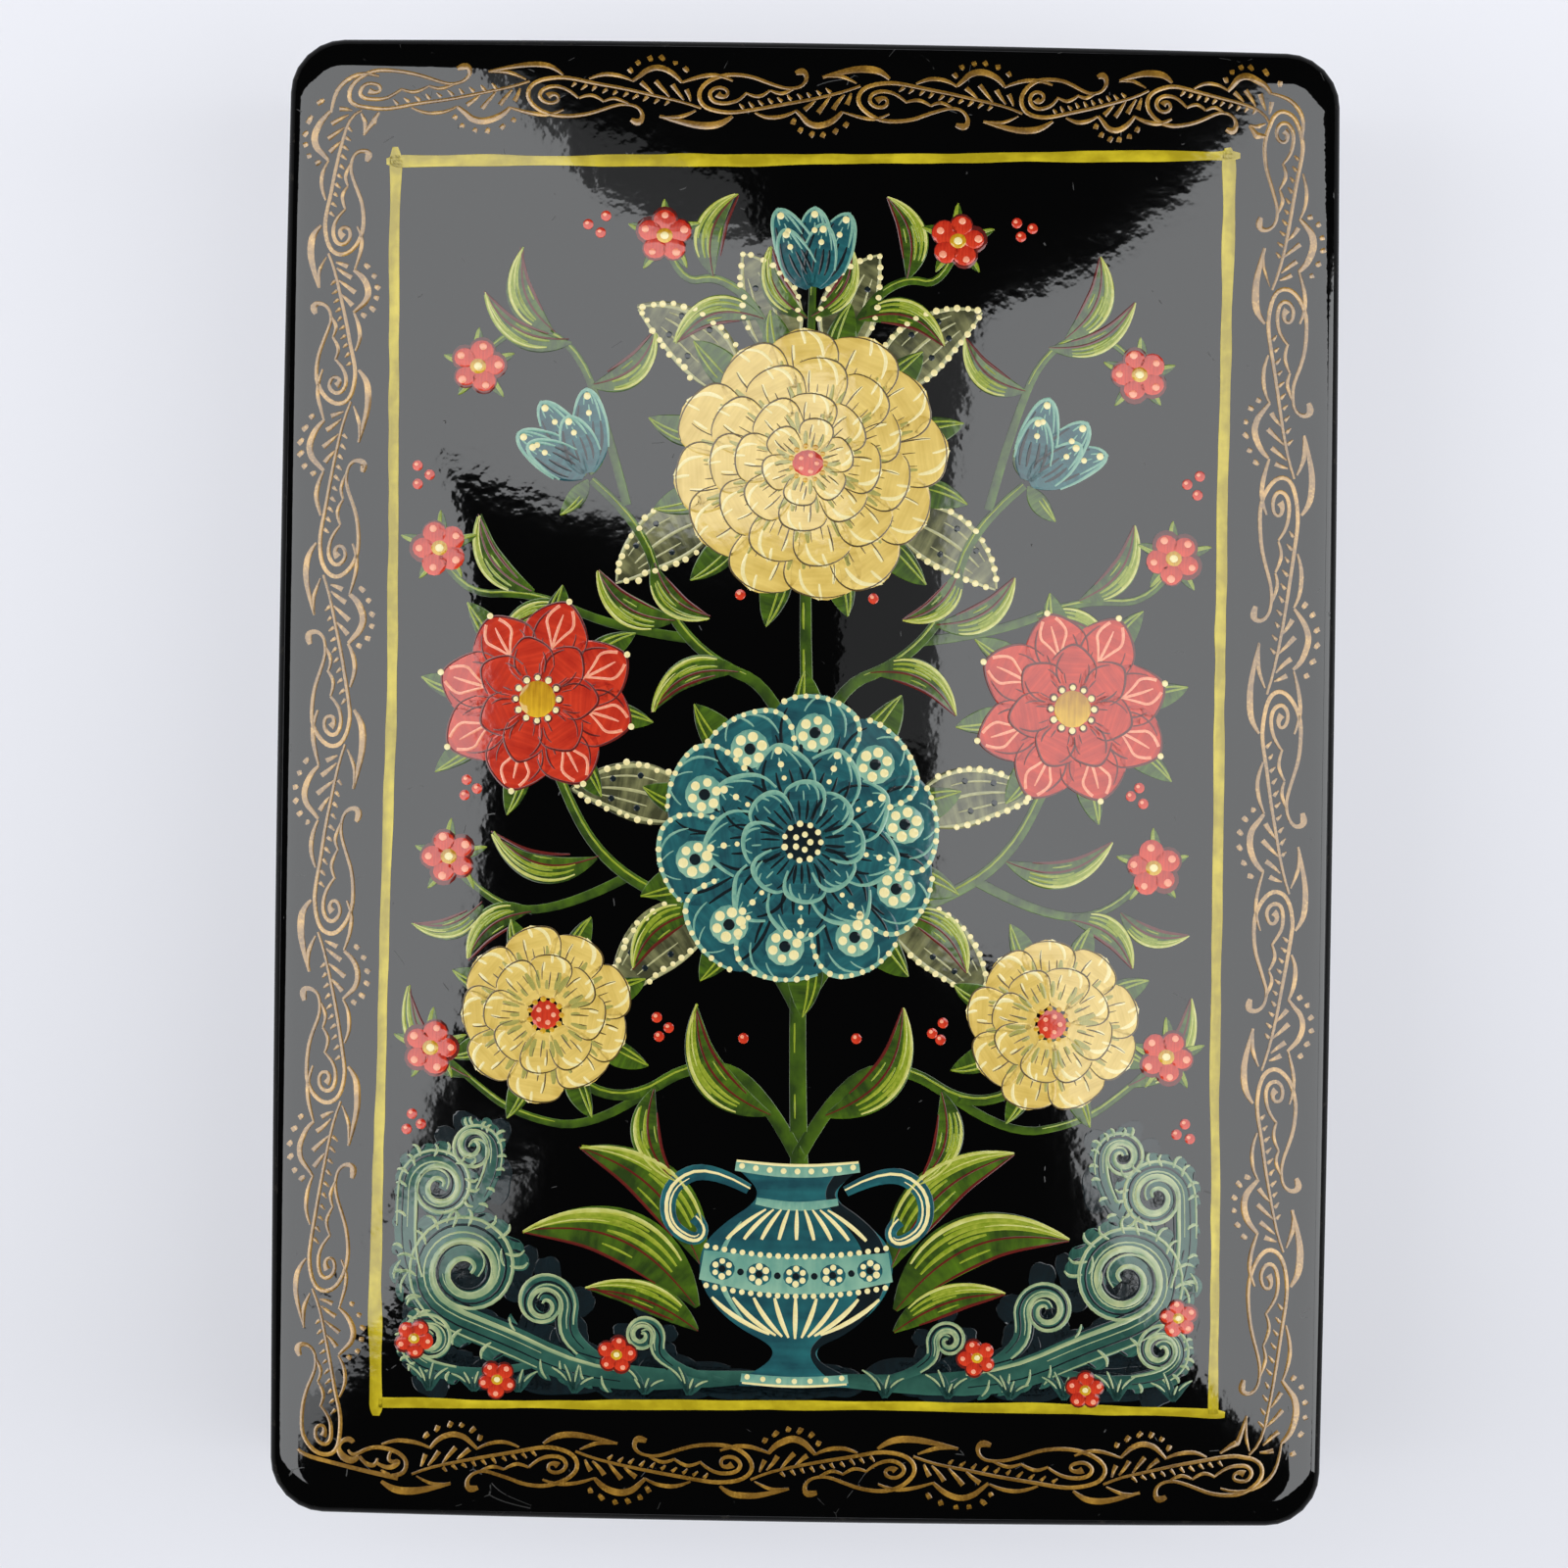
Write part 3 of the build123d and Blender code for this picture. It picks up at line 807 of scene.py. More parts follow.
def curl(lead, x, y, radius, start, turns, way, thick):
    """A stroke that follows its lead and then winds into a curl round (x, y)."""
    count = round(turns * 9)
    points = list(lead)
    for place in range(count + 1):
        share = place / count
        angle = radians(start) + way * full_turn * turns * share
        reach = radius * (1 - share) ** 0.8 + 0.16 * radius * share
        points.append((x + reach * cos(angle), y + reach * sin(angle)))
    swell = [min(1, 0.35 + 0.3 * place) for place in range(len(points))]
    fade = [1 - 0.62 * max(0, place - len(lead)) / count for place in range(len(points))]
    return points, [thick * up * down for up, down in zip(swell, fade)]


scrolls = [curl([(2.0, -57.2), (12, -57.9), (21, -57.0), (27.4, -54.0)], 31.4, -47.4, 4.9, -62, 1.75, 1, 1.5),
           curl([(31.0, -52.6), (35.4, -50.6), (37.3, -46.0)], 34.2, -39.4, 3.2, -20, 1.6, 1, 1.05),
           curl([(15.0, -57.6), (19.0, -55.8), (21.6, -53.6)], 23.9, -50.4, 2.5, 215, 1.5, -1, 0.85),
           curl([(25.0, -56.2), (30.0, -57.4), (34.4, -56.9)], 34.9, -54.1, 2.3, -55, 1.5, 1, 0.85),
           curl([(7.0, -57.6), (10.6, -56.9), (13.0, -55.4)], 14.6, -53.4, 1.6, 215, 1.4, -1, 0.65),
           curl([(35.6, -44.0), (31.0, -41.6), (29.2, -38.4)], 30.9, -35.6, 2.1, 190, 1.45, -1, 0.75)]
clockwise_scrolls = (2, 4, 5)
# For each scalloped scroll: its number, where the scallops start and end, their side and their size
scallops_on = [(0, 3, 10, -1, 2.3), (1, 1, 9, -1, 1.7), (3, 1, 6, -1, 1.3), (5, 1, 6, 1, 1.2)]
lobe_shape = (0.6, 0.9, 1.0, 1.0, 0.95, 0.8, 0.3)
scroll_lobes, scroll_lights, scroll_darks = [], [], []
for number, first, last, side, size in scallops_on:
    scroll = scrolls[number]
    for place in range(first, last):
        for share in (0, 0.5):
            (x0, y0), (x1, y1) = spot(scroll, place, side * 0.3), spot(scroll, place + 1, side * 0.3)
            x, y = x0 + (x1 - x0) * share, y0 + (y1 - y0) * share
            heading = atan2(y1 - y0, x1 - x0) + side * 0.95
            reach = size * hand.uniform(0.85, 1.1)
            tip = (min(x + reach * cos(heading), wash_edge), max(y + reach * sin(heading), -59.2))
            lobe = blade((x, y), tip, -0.12 * side, size * 0.42, lobe_shape)
            scroll_lobes.append(lobe)
            scroll_lights.append(along(lobe, -0.75 * side, 2, 6, 0.17))
            scroll_darks.append(along(lobe, 0.85 * side, 1, 5, 0.13))
for number, scroll in enumerate(scrolls):
    last = len(scroll[0]) - 1
    thick = scroll[1][3]
    way = 1 if number in clockwise_scrolls else -1
    scroll_lights += [along(scroll, -0.72 * way, 1, last, 0.14 + 0.14 * thick),
                      along(scroll, 0.9 * way, 2, last, 0.17), along(scroll, -0.2 * way, 2, last - 5, 0.09)]
    scroll_darks += [along(scroll, -1.12 * way, 1, last - 2, 0.2),
                     along(scroll, 0.35 * way, 1, last - 4, 0.14)]
# Single blades beside the scrolls: root, way in degrees and length
comb_places = [(17.5, -59.0, 60, 2.2), (19.4, -58.6, 62, 2.4), (21.4, -58.3, 64, 2.5), (23.4, -57.9, 66, 2.5),
               (37.4, -50.4, 100, 2.6), (38.2, -49.0, 103, 2.4), (28.3, -48.8, 70, 2.4),
               (27.6, -47.2, 74, 2.2), (26.4, -53.2, 60, 1.8), (33.5, -43.2, 118, 2.0)]
combs = []
for x, y, degrees, reach in comb_places:
    angle = radians(degrees)
    combs.append(blade((x, y), (min(x + reach * cos(angle), 38.5), y + reach * sin(angle)), -0.2, 0.42))
scroll_lights += [along(comb, 0.3, 1, 6, 0.13) for comb in combs]
back_shape = (0.4, 0.8, 1, 0.9, 1, 0.7, 0.3)
backs = []
for scroll in scrolls:
    for place in range(2, len(scroll[0]) - 1, 2):
        (x0, y0), (x1, y1) = scroll[0][place], scroll[0][place + 1]
        reach_x, reach_y = (x1 - x0) * 0.9, (y1 - y0) * 0.9
        for side in (-1.6, 1.4):
            x, y = spot(scroll, place, side)
            if abs(x) < 37 and y > -58.5:
                backs.append(blade((x - reach_x, y - reach_y), (x + reach_x, y + reach_y),
                                   hand.uniform(-0.1, 0.1), hand.uniform(0.8, 1.5), back_shape))
scroll_green = tempera("blue_green_tempera", "#1a4138", "#356555", 0.45)
lay_coat("foot_wash", washes + both_sides(backs), 0, navy, smoothness=3)
lay_coat("scroll_lobes", both_sides(scroll_lobes + combs), 1.2, scroll_green)
lay_coat("scroll_leaves", both_sides(scrolls), 2, scroll_green, smoothness=3)
lay_coat("scroll_darks", both_sides(scroll_darks), 2.5, navy, line_print, smoothness=3)
lay_coat("scroll_lights", both_sides(scroll_lights), 2.9, sage, line_print, smoothness=3)
lay_coat("grass", tufts, 3.1, deep_teal)
lay_coat("grass_lights", tuft_lights, 3.6, sage, line_print)

# Picture, gauze leaves: pale leaves behind the great blooms, with a row of cream dots down each edge.
# The paint is thin, so the black shows through it towards the root.
sheer = tempera("thin_grey_green_tempera", "#3a3b22", "#8b8a5c", 0.5, 0.6)
cream = tempera("cream_tempera", "#dfcf8e", "#efe3ae", 0.3)
gauze_leaves, gauze_lines, gauze_dots, gauze_eyes = [], [], [], []
# Each leaf: the centre of its bloom, its way in degrees, and how far out its root and its tip lie
gauze_places = [(0, 30, 42, 9, 22), (0, 30, -33, 9, 21.5), (0, -6, 12, 10, 22.5), (0, -6, -40, 10, 23),
                (0, 30, 72, 10, 21)]
for x, y, degrees, root_reach, reach in gauze_places:
    angle = radians(degrees)
    leaf = blade((x + root_reach * cos(angle), y + root_reach * sin(angle)),
                 (x + reach * cos(angle), y + reach * sin(angle)), 0.1, 2.9)
    gauze_leaves.append(leaf)
    gauze_lines += [along(leaf, 0.9, 1, 6, 0.2), along(leaf, -0.9, 1, 6, 0.2), along(leaf, 0.05, 1, 5, 0.16),
                    along(leaf, -0.45, 2, 5, 0.1), along(leaf, 0.5, 2, 5, 0.1)]
    for side in (-0.95, 0.95):
        gauze_dots += beads(eased([spot(leaf, place, side) for place in range(2, 7)]), 1.0, 0.3)
    for place, side in ((3, 0.5), (3, -0.5), (4, 0.42), (4, -0.42)):
        gauze_eyes.append(disc(*spot(leaf, place, side), 0.3))
lay_coat("gauze_leaves", both_sides(gauze_leaves), 1, sheer)
gauze_light = tempera("pale_grey_green_tempera", "#8a8a60", "#c2bd88", 0.3)
lay_coat("gauze_lines", both_sides(gauze_lines), 2, gauze_light, line_print)
lay_coat("gauze_eyes", both_sides(gauze_eyes), 2.2, navy, bead_print, 0.006)
lay_coat("gauze_dots", both_sides(gauze_dots), 2.4, cream, bead_print, 0.015)

# Picture, stems and leaves: the branching stem of the bouquet, with long olive leaves.
# Each leaf is one wide stroke. Yellow-green strokes run down its lit side, pale at the edge, and a dark red
# line runs down the other.
branches = [([(0, -36), (4, -28.5), (10, -27), (16, -31), (22, -29), (24, -24)], 0.55),
            ([(0, -22), (4.5, -13.5), (12, -12), (19, -8), (23, -1), (25, 5)], 0.55),
            ([(0, 0), (2.5, 8.5), (9, 11), (13.5, 16), (15.5, 24), (20.6, 28.2)], 0.5),
            ([(13.6, -29.3), (19.5, -33.8), (27, -32.4), (31.5, -29), (35, -26)], 0.36),
            ([(16.4, -9.4), (23, -13), (30, -12.5), (33.5, -8)], 0.38),
            ([(10.9, 13.2), (18, 14.0), (26, 17.5), (33, 17.0), (35, 21)], 0.38),
            ([(3, 40), (5, 45), (9, 48), (12.5, 47), (14, 51)], 0.4),
            ([(17.2, 25.8), (19.4, 34), (22.6, 41.6), (28.6, 43.2), (31.5, 39.5)], 0.34)]
stems = [([(0.2, -38), (-0.5, -20), (0.5, 0), (-0.3, 22), (0.2, 47)], [0.85, 0.75, 0.65, 0.5, 0.35])]
stem_lights = [along(stems[0], 0.4, 0, 4, 0.16)]
for line, thick in branches:
    side_stem = (line, [thick * (1.25 - 0.6 * place / len(line)) for place in range(len(line))])
    pair = both_sides([side_stem], 0.1)
    stems += pair
    stem_lights += [along(stroke, side, 1, len(line) - 1, 0.13) for stroke, side in zip(pair, (0.4, -0.4))]
leaf_places = [((9.5, -50.5), (26.0, -43.6), 0.2, 2.6), ((9.0, -46.4), (20.6, -35.4), 0.16, 2.3),
               ((9.4, -52.6), (20.0, -48.8), 0.12, 1.5), ((2.6, -32), (9.8, -21.6), -0.22, 1.8),
               ((13.6, -29.6), (11.6, -38.4), 0.2, 1.4), ((9.5, -12.6), (15.8, -18.2), 0.2, 1.5),
               ((19.4, -7.6), (29.5, -5.6), -0.22, 1.35), ((6.2, 10.2), (14.4, 6.2), 0.22, 1.4),
               ((12.4, 14.8), (19.8, 19.4), -0.2, 1.4), ((14.6, 20.2), (9.2, 15.2), 0.2, 1.2),
               ((26, 17.3), (31.2, 24.6), -0.2, 1.3), ((22, 15.6), (29.2, 12.2), 0.2, 1.1),
               ((4.6, 43.8), (12.8, 41.4), 0.24, 1.4), ((9.2, 47.8), (7.2, 55.6), -0.2, 1.4),
               ((20.6, 37.2), (14.8, 42.2), 0.2, 1.3), ((24.4, 42.3), (27.6, 50.2), -0.2, 1.4),
               ((22.8, 41.4), (31.0, 45.9), -0.2, 1.1), ((25.6, -13.0), (31.6, -17.6), 0.2, 1.3),
               ((30.4, -12.3), (37.0, -14.4), -0.2, 1.0), ((31.4, -28.8), (37.3, -20.4), -0.2, 1.3),
               ((0.1, 44), (3.9, 50.6), -0.2, 1.1)]
leaves, leaf_lights, leaf_edges, leaf_ribs = [], [], [], []
for root, tip, bow, thick in leaf_places:
    leaf = blade(root, tip, bow, thick)
    side = 1 if bow > 0 else -1
    leaves.append(leaf)
    leaf_ribs += [along(leaf, -0.22 * side, 0, 6, 0.12), along(leaf, -0.95 * side, 1, 6, 0.16)]
    for share, first, last in ((0.08, 1, 4), (0.3, 2, 6), (0.5, 1, 5), (0.68, 2, 6)):
        leaf_lights.append(along(leaf, share * side, first, last, 0.07 + 0.075 * thick))
    leaf_lights.append(along(leaf, -0.58 * side, 2, 4, 0.05 + 0.05 * thick))
    leaf_edges += [along(leaf, 0.84 * side, 1, 6, 0.06 + 0.07 * thick),
                   along(leaf, 0.42 * side, 3, 6, 0.05 + 0.02 * thick)]
olive = tempera("olive_tempera", "#213604", "#4f6f0a", 0.45)
spring_green = tempera("yellow_green_tempera", "#6f8410", "#a3a93a", 0.4)
pale_green = tempera("pale_yellow_green_tempera", "#a5a83c", "#d3d089", 0.35)
oxblood = tempera("dark_red_tempera", "#4a0d08", "#6d190e", 0.2)
lay_coat("stems", stems, 2.5, olive, smoothness=6)
lay_coat("stem_lights", stem_lights, 2.9, spring_green, line_print)
lay_coat("leaves", both_sides(leaves), 3.2, olive)
lay_coat("leaf_ribs", both_sides(leaf_ribs), 3.8, oxblood, line_print)
lay_coat("leaf_lights", both_sides(leaf_lights), 3.9, spring_green, line_print)
lay_coat("leaf_edges", both_sides(leaf_edges, 0.1), 4.1, pale_green, line_print)

# Picture, urn: a footed teal urn with two handles, fluting, and a pale band of little dotted flowers.
# The body is laid flat, shaded down the right side and lit down the left. The cream dots stand up a little.
urn_profile = [(-58.0, 5.2), (-57.2, 5.0), (-56.4, 3.4), (-55.2, 2.0), (-54.0, 2.2), (-52.4, 5.4),
               (-50.0, 8.0), (-47.2, 9.2), (-44.4, 8.8), (-42.2, 6.6), (-40.6, 4.2), (-39.4, 3.6),
               (-38.2, 4.4), (-37.0, 5.8)]
urn_body = [([(0, y) for y, reach in urn_profile], [reach for y, reach in urn_profile])]
urn_shade = [([(reach * 0.84, y) for y, reach in urn_profile[1:]],
              [reach * 0.12 for y, reach in urn_profile[1:]])]
urn_glow = [([(reach * -0.8, y) for y, reach in urn_profile[5:10]], [0.06, 0.24, 0.3, 0.24, 0.06])]


def girdle(height, reach, thick, sag):
    """A band that goes round the urn, seen as a shallow bow."""
    shares = (-1, -0.5, 0, 0.5, 1)
    return ([(reach * share, height - sag * (1 - share * share)) for share in shares],
            [thick * 0.8, thick, thick, thick, thick * 0.8])


def dotted_girdle(height, reach, sag, count, radius):
    """A row of dots that goes round the urn."""
    shares = [-0.96 + 1.92 * place / (count - 1) for place in range(count)]
    return [disc(reach * share, height - sag * (1 - share * share), radius) for share in shares]


urn_bands = [girdle(-57.2, 5.1, 0.5, 0.4), girdle(-46.4, 9.0, 1.75, 1.0), girdle(-40.2, 3.9, 0.42, 0.5),
             girdle(-36.9, 5.9, 0.55, 0.5)]
handle = ([(4.6, -39.2), (8.5, -37.0), (12.2, -38.8), (12.4, -42.6), (9.6, -44.4), (8.6, -42.9),
           (9.8, -41.9)], [0.5, 0.75, 0.8, 0.7, 0.6, 0.5, 0.62])
urn_lines = both_sides([along(handle, 0.3, 0, 6, 0.18), along(handle, -0.5, 1, 5, 0.1)], 0.1)
urn_lines += [girdle(-57.7, 5.0, 0.12, 0.3), girdle(-36.4, 5.8, 0.14, 0.4)]
for place in range(-4, 5):
    x = place * 1.75
    urn_lines.append(([(x * 0.35, -53.4 + abs(place) * 0.1), (x * 0.85, -51.6), (x * 1.14, -49.5)],
                      [0.1, 0.34, 0.12]))
    urn_lines.append(([(x * 0.95, -43.9), (x * 0.75, -42.4), (x * 0.42, -41.0)], [0.14, 0.28, 0.08]))
urn_dots = dotted_girdle(-44.5, 8.9, 1.0, 21, 0.27) + dotted_girdle(-48.3, 8.9, 1.0, 21, 0.27)
urn_dots += dotted_girdle(-36.85, 5.5, 0.5, 9, 0.28) + dotted_girdle(-57.1, 4.7, 0.4, 7, 0.26)
urn_rings, urn_hearts = [], []
for share in (-0.8, -0.4, 0, 0.4, 0.8):
    x, y = 8.8 * share, -46.4 - 1.0 * (1 - share * share)
    urn_rings.append(disc(x, y, 1.22))
    urn_dots += wreath(x, y, 0.74, 6, 0.3, 0.5)
    urn_hearts.append(disc(x, y, 0.36))
    if share < 0.8:
        urn_hearts.append(disc(x + 1.76, -46.4 - 1.0 * (1 - (share + 0.2) ** 2), 0.33))
teal = tempera("teal_tempera", "#123f47", "#236a6c", 0.4)
mint = tempera("mint_tempera", "#5b8f80", "#93b89c", 0.3)
lay_coat("urn_body", urn_body, 4, teal, smoothness=6)
lay_coat("urn_handles", both_sides([handle], 0.1), 4, teal, smoothness=6)
lay_coat("urn_shade", urn_shade, 4.4, navy, smoothness=6)
lay_coat("urn_glow", urn_glow, 4.4, mint, line_print, smoothness=6)
lay_coat("urn_bands", urn_bands, 5, mint, smoothness=6)
lay_coat("urn_rings", urn_rings, 5.4, teal, bead_print, 0.004)
lay_coat("urn_lines", urn_lines, 5.6, cream, line_print)
lay_coat("urn_hearts", urn_hearts, 5.9, navy, bead_print, 0.006)
lay_coat("urn_dots", urn_dots, 6, cream, bead_print, 0.018)

# Picture, blooms: a cream one at the top, a teal one at the heart, and pairs of coral, cream and teal ones.
# Each petal is one pressed stroke, shaded at its root and lit at its tip. Its outline ends at the next petal,
# which lies over it.
round_petal = (0.3, 0.55, 0.82, 1.0, 1.06, 0.82, 0.14)
pointed_petal = (0.3, 0.6, 0.95, 1.05, 0.85, 0.42, 0.03)
cup_petal = (0.35, 0.7, 1.0, 1.0, 0.8, 0.5, 0.05)


def lies_under(point, wide):
    """Whether a wide stroke lies over a point."""
    points, half_widths = wide
    for (x0, y0), (x1, y1), thick, next_thick in zip(points, points[1:], half_widths, half_widths[1:]):
        away_x, away_y, run_x, run_y = point[0] - x0, point[1] - y0, x1 - x0, y1 - y0
        share = max(0, min(1, (away_x * run_x + away_y * run_y) / (run_x ** 2 + run_y ** 2)))
        if hypot(away_x - share * run_x, away_y - share * run_y) < thick + share * (next_thick - thick):
            return True
    return False


def outline_of(petal, cover, thick):
    """A petal's outline, up one side and down the other, as far as its neighbour leaves it in sight."""
    line = [spot(petal, place, -1) for place in range(2, 6)] + [petal[0][6]]
    line += [spot(petal, place, 1) for place in range(5, 1, -1)]
    seen = [point for point in eased(line) if cover is None or not lies_under(point, cover)]
    return seen, tapered(len(seen), thick, 0.5, 0.5)


def fan(x, y, reach, count, start, spread, thick, root_reach, shape):
    """Petals that stand out from a centre like the spokes of a wheel, or of a part of one."""
    petals = []
    for place in range(count):
        angle = start + spread * place / count + hand.uniform(-0.04, 0.04)
        long = reach * hand.uniform(0.95, 1.04)
        petals.append(blade((x + root_reach * cos(angle), y + root_reach * sin(angle)),
                            (x + long * cos(angle), y + long * sin(angle)),
                            hand.uniform(-0.05, 0.05), thick * hand.uniform(0.94, 1.06), shape))
    return petals


def paint_blooms(name, centres, rings, level, ground, marks, outline_paint, outline_thick):
    """Blooms of one kind, ring over ring. A mark has a paint, a thickness and its places on a petal."""
    painted_rings = []
    for number, (reach, count, petal_thick, root_reach, shape) in enumerate(rings):
        petals, outlines = [], []
        for x, y, start, spread in centres:
            first_angle = start + 0.4 * number * spread / count
            ring = fan(x, y, reach, count, first_angle, spread, petal_thick, root_reach, shape)
            covers = ring[1:] + ([ring[0]] if spread == full_turn else [None])
            petals += ring
            outlines += [outline_of(petal, cover, outline_thick) for petal, cover in zip(ring, covers)]
        tag = name + "_ring_" + str(number + 1)
        lay_coat(tag + "_petals", petals, level + number, ground)
        for step, (mark_name, paint, thick, places) in enumerate(marks):
            strokes = [along(petal, side + hand.uniform(-0.05, 0.05), first, last,
                             thick * hand.uniform(0.8, 1.2))
                       for petal in petals for side, first, last in places]
            mark_level = level + number + 0.25 + 0.12 * step
            lay_coat(tag + "_" + mark_name, strokes, mark_level, paint, line_print, smoothness=3)
        lay_coat(tag + "_outlines", outlines, level + number + 0.65, outline_paint, line_print, smoothness=1)
        painted_rings.append((petals, outlines))
    return painted_rings


sepals = fan(0, 30, 15.6, 12, 0.27, full_turn, 1.5, 9, leaf_shape)
sepals += fan(0, -6, 16.4, 10, 0.34, full_turn, 1.7, 9, leaf_shape)
side_sepals = fan(25.5, 7, 11.4, 8, 0.2, full_turn, 1.3, 5, leaf_shape)
side_sepals += fan(24, -23, 10.2, 8, 0.4, full_turn, 1.2, 5, leaf_shape)
flower_places = [(35, -26), (33.5, -8), (35, 21.5), (14, 51.5), (31.5, 39)]
for x, y in flower_places:
    side_sepals += fan(x, y, 3.7, 5, 0.3, full_turn, 0.55, 0.5, leaf_shape)
side_sepals += fan(20.8, 28.4, 4.6, 3, -0.9, 3.9, 0.9, 0.3, leaf_shape)
all_sepals = sepals + both_sides(side_sepals, 0.1)
lay_coat("sepals", all_sepals, 4.2, olive)
sepal_lights = [along(sepal, side, 2, 6, 0.13) for sepal in all_sepals for side in (0.2, 0.65)]
lay_coat("sepal_lights", sepal_lights, 4.6, spring_green, line_print)

sand = tempera("yellow_cream_tempera", "#bd9c42", "#e6c971", 0.35, 0.25)
shade = tempera("grey_green_tempera", "#8d8a42", "#b3a85c", 0.3)
umber = tempera("umber_tempera_line", "#40300c", "#5e4a1c", 0.2)
coral = tempera("vermilion_tempera", "#a31a06", "#d83f1e", 0.35, 0.45)
rose = tempera("rose_tempera", "#e07c62", "#f0b48c", 0.3)
amber = tempera("yellow_earth_tempera", "#a87606", "#dcae22", 0.4)
# Each kind of mark: its name, paint, thickness, and for each stroke on a petal its side, start and end
cream_marks = [("shades", shade, 0.34, ((-0.5, 1, 4), (0.1, 1, 3), (0.62, 1, 4))),
               ("lights", cream, 0.24, ((-0.6, 3, 6), (-0.1, 4, 6), (0.3, 3, 5))),
               ("hatches", umber, 0.085, ((-0.36, 2, 4), (0.02, 1, 4), (0.34, 2, 5)))]
teal_marks = [("shadows", navy, 0.2, ((-0.6, 1, 4), (-0.2, 1, 4), (0.25, 1, 4), (0.75, 1, 5))),
              ("lights", mint, 0.15, ((-0.7, 3, 6), (-0.35, 4, 6), (0.0, 3, 5), (0.4, 4, 6)))]
coral_marks = [("shadows", oxblood, 0.13, ((-0.66, 1, 4), (-0.36, 1, 3), (0.36, 1, 3), (0.7, 1, 5)))]
coral_centres = [(25.5, 7, 0.3, full_turn), (-25.4, 7.2, 0.5, full_turn)]
cream_centres = [(24, -23, 0.2, full_turn), (-24.2, -22.8, 0.4, full_turn)]
bell_centres = [(20.8, 28.4, 0.32, 1.5), (-20.9, 28.5, pi - 1.52, 1.5), (0.2, 46.6, pi / 2 - 0.42, 1.25)]
# Each ring of petals: how far its tips reach, their number, half-width, how far out the roots lie, and shape
paint_blooms("great_cream_bloom", [(0, 30, 0.1, full_turn)],
             [(13.0, 12, 3.4, 5.5, round_petal), (9.9, 11, 2.7, 3.6, round_petal),
              (6.9, 8, 2.3, 1.8, round_petal), (4.4, 6, 1.6, 0.8, round_petal)],
             5, sand, cream_marks, umber, 0.09)
teal_rings = paint_blooms("great_teal_bloom", [(0, -6, 0.2, full_turn)],
                          [(13.6, 10, 4.3, 5.0, round_petal), (9.4, 9, 3.0, 3.0, pointed_petal),
                           (6.0, 8, 1.9, 1.2, round_petal)], 5, teal, teal_marks, mint, 0.24)
coral_rings = paint_blooms("coral_bloom", coral_centres,
                           [(9.4, 8, 3.0, 3.0, pointed_petal), (6.2, 7, 2.1, 1.5, pointed_petal)],
                           5, coral, coral_marks, oxblood, 0.12)
paint_blooms("cream_bloom", cream_centres,
             [(8.2, 9, 2.6, 3.2, round_petal), (5.8, 8, 2.0, 1.6, round_petal)],
             5, sand, cream_marks, umber, 0.085)
bell_rings = paint_blooms("bell", bell_centres,
                          [(8.2, 3, 1.9, 0.4, cup_petal), (6.4, 2, 1.7, 0.3, cup_petal)],
                          5, teal, teal_marks, mint, 0.18)

# Picture, hearts and dots: seed heads, small coral flowers, berries and the cream dots on the blooms.
# The dots are thick paint that stands up, so each one catches a point of light.
cream_dots, navy_dots, amber_dots, coral_dots = [], [], [], []
rose_dots, oxblood_dots, mint_dots = [], [], []
for petal, outline in zip(*teal_rings[0]):
    x, y = halfway(petal[0][3], petal[0][4])
    mint_dots.append(disc(x, y, 1.85))
    cream_dots += wreath(x, y, 1.18, 6, 0.46, 0.3)
    navy_dots.append(disc(x, y, 0.55))
    cream_dots += beads(outline[0], 1.05, 0.27)
for petal, outline in zip(*teal_rings[1]):
    cream_dots += [disc(*petal[0][5], 0.36), disc(*petal[0][4], 0.3), disc(*petal[0][3], 0.24)]
navy_dots.append(disc(0, -6, 1.9))
cream_dots += wreath(0, -6, 1.75, 11, 0.29) + wreath(0, -6, 0.75, 5, 0.28)
coral_curls = []
for petal, outline in zip(*coral_rings[0]):
    coral_curls.append(along(petal, 0, 1, 5, 0.15))
    for side in (-1, 1):
        coral_curls.append(([petal[0][2], spot(petal, 3, 0.2 * side), spot(petal, 4, 0.62 * side),
                             spot(petal, 5, 0.5 * side)], [0.08, 0.13, 0.14, 0.16]))
    cream_dots.append(disc(*petal[0][6], 0.3))
for x, y, start, spread in coral_centres:
    amber_dots.append(disc(x, y, 1.75))
    oxblood_dots += wreath(x, y, 2.1, 12, 0.42)
    cream_dots += wreath(x, y, 2.05, 12, 0.28)
for x, y, reach in ((0, 30, 1.5), (24, -23, 1.4), (-24.2, -22.8, 1.4)):
    coral_dots.append(disc(x, y, reach))
    rose_dots += wreath(x, y, reach * 0.55, 5, 0.24)
    amber_dots += wreath(x, y, reach * 1.1, 11, 0.27)
for petal in bell_rings[0][0] + bell_rings[1][0]:
    cream_dots += [disc(*petal[0][5], 0.34), disc(*petal[0][4], 0.28)]
small_flowers = both_sides([([place], [1]) for place in flower_places])
ground_flowers = [(-36.4, -54.0), (-17.0, -55.2), (17.4, -55.0), (36.6, -51.0), (27.8, -58.0), (-28.4, -57.8)]
small_flowers += [([place], [0.7]) for place in ground_flowers]
for ((x, y),), (size,) in small_flowers:
    turn = hand.uniform(0, 1.2)
    oxblood_dots += wreath(x, y, 1.5 * size, 5, 1.28 * size, turn)
    coral_dots += wreath(x, y, 1.5 * size, 5, 1.1 * size, turn)
    rose_dots += wreath(x, y, 1.95 * size, 5, 0.36 * size, turn)
    amber_dots.append(disc(x, y, 0.78 * size))
    cream_dots.append(disc(x, y, 0.4 * size))
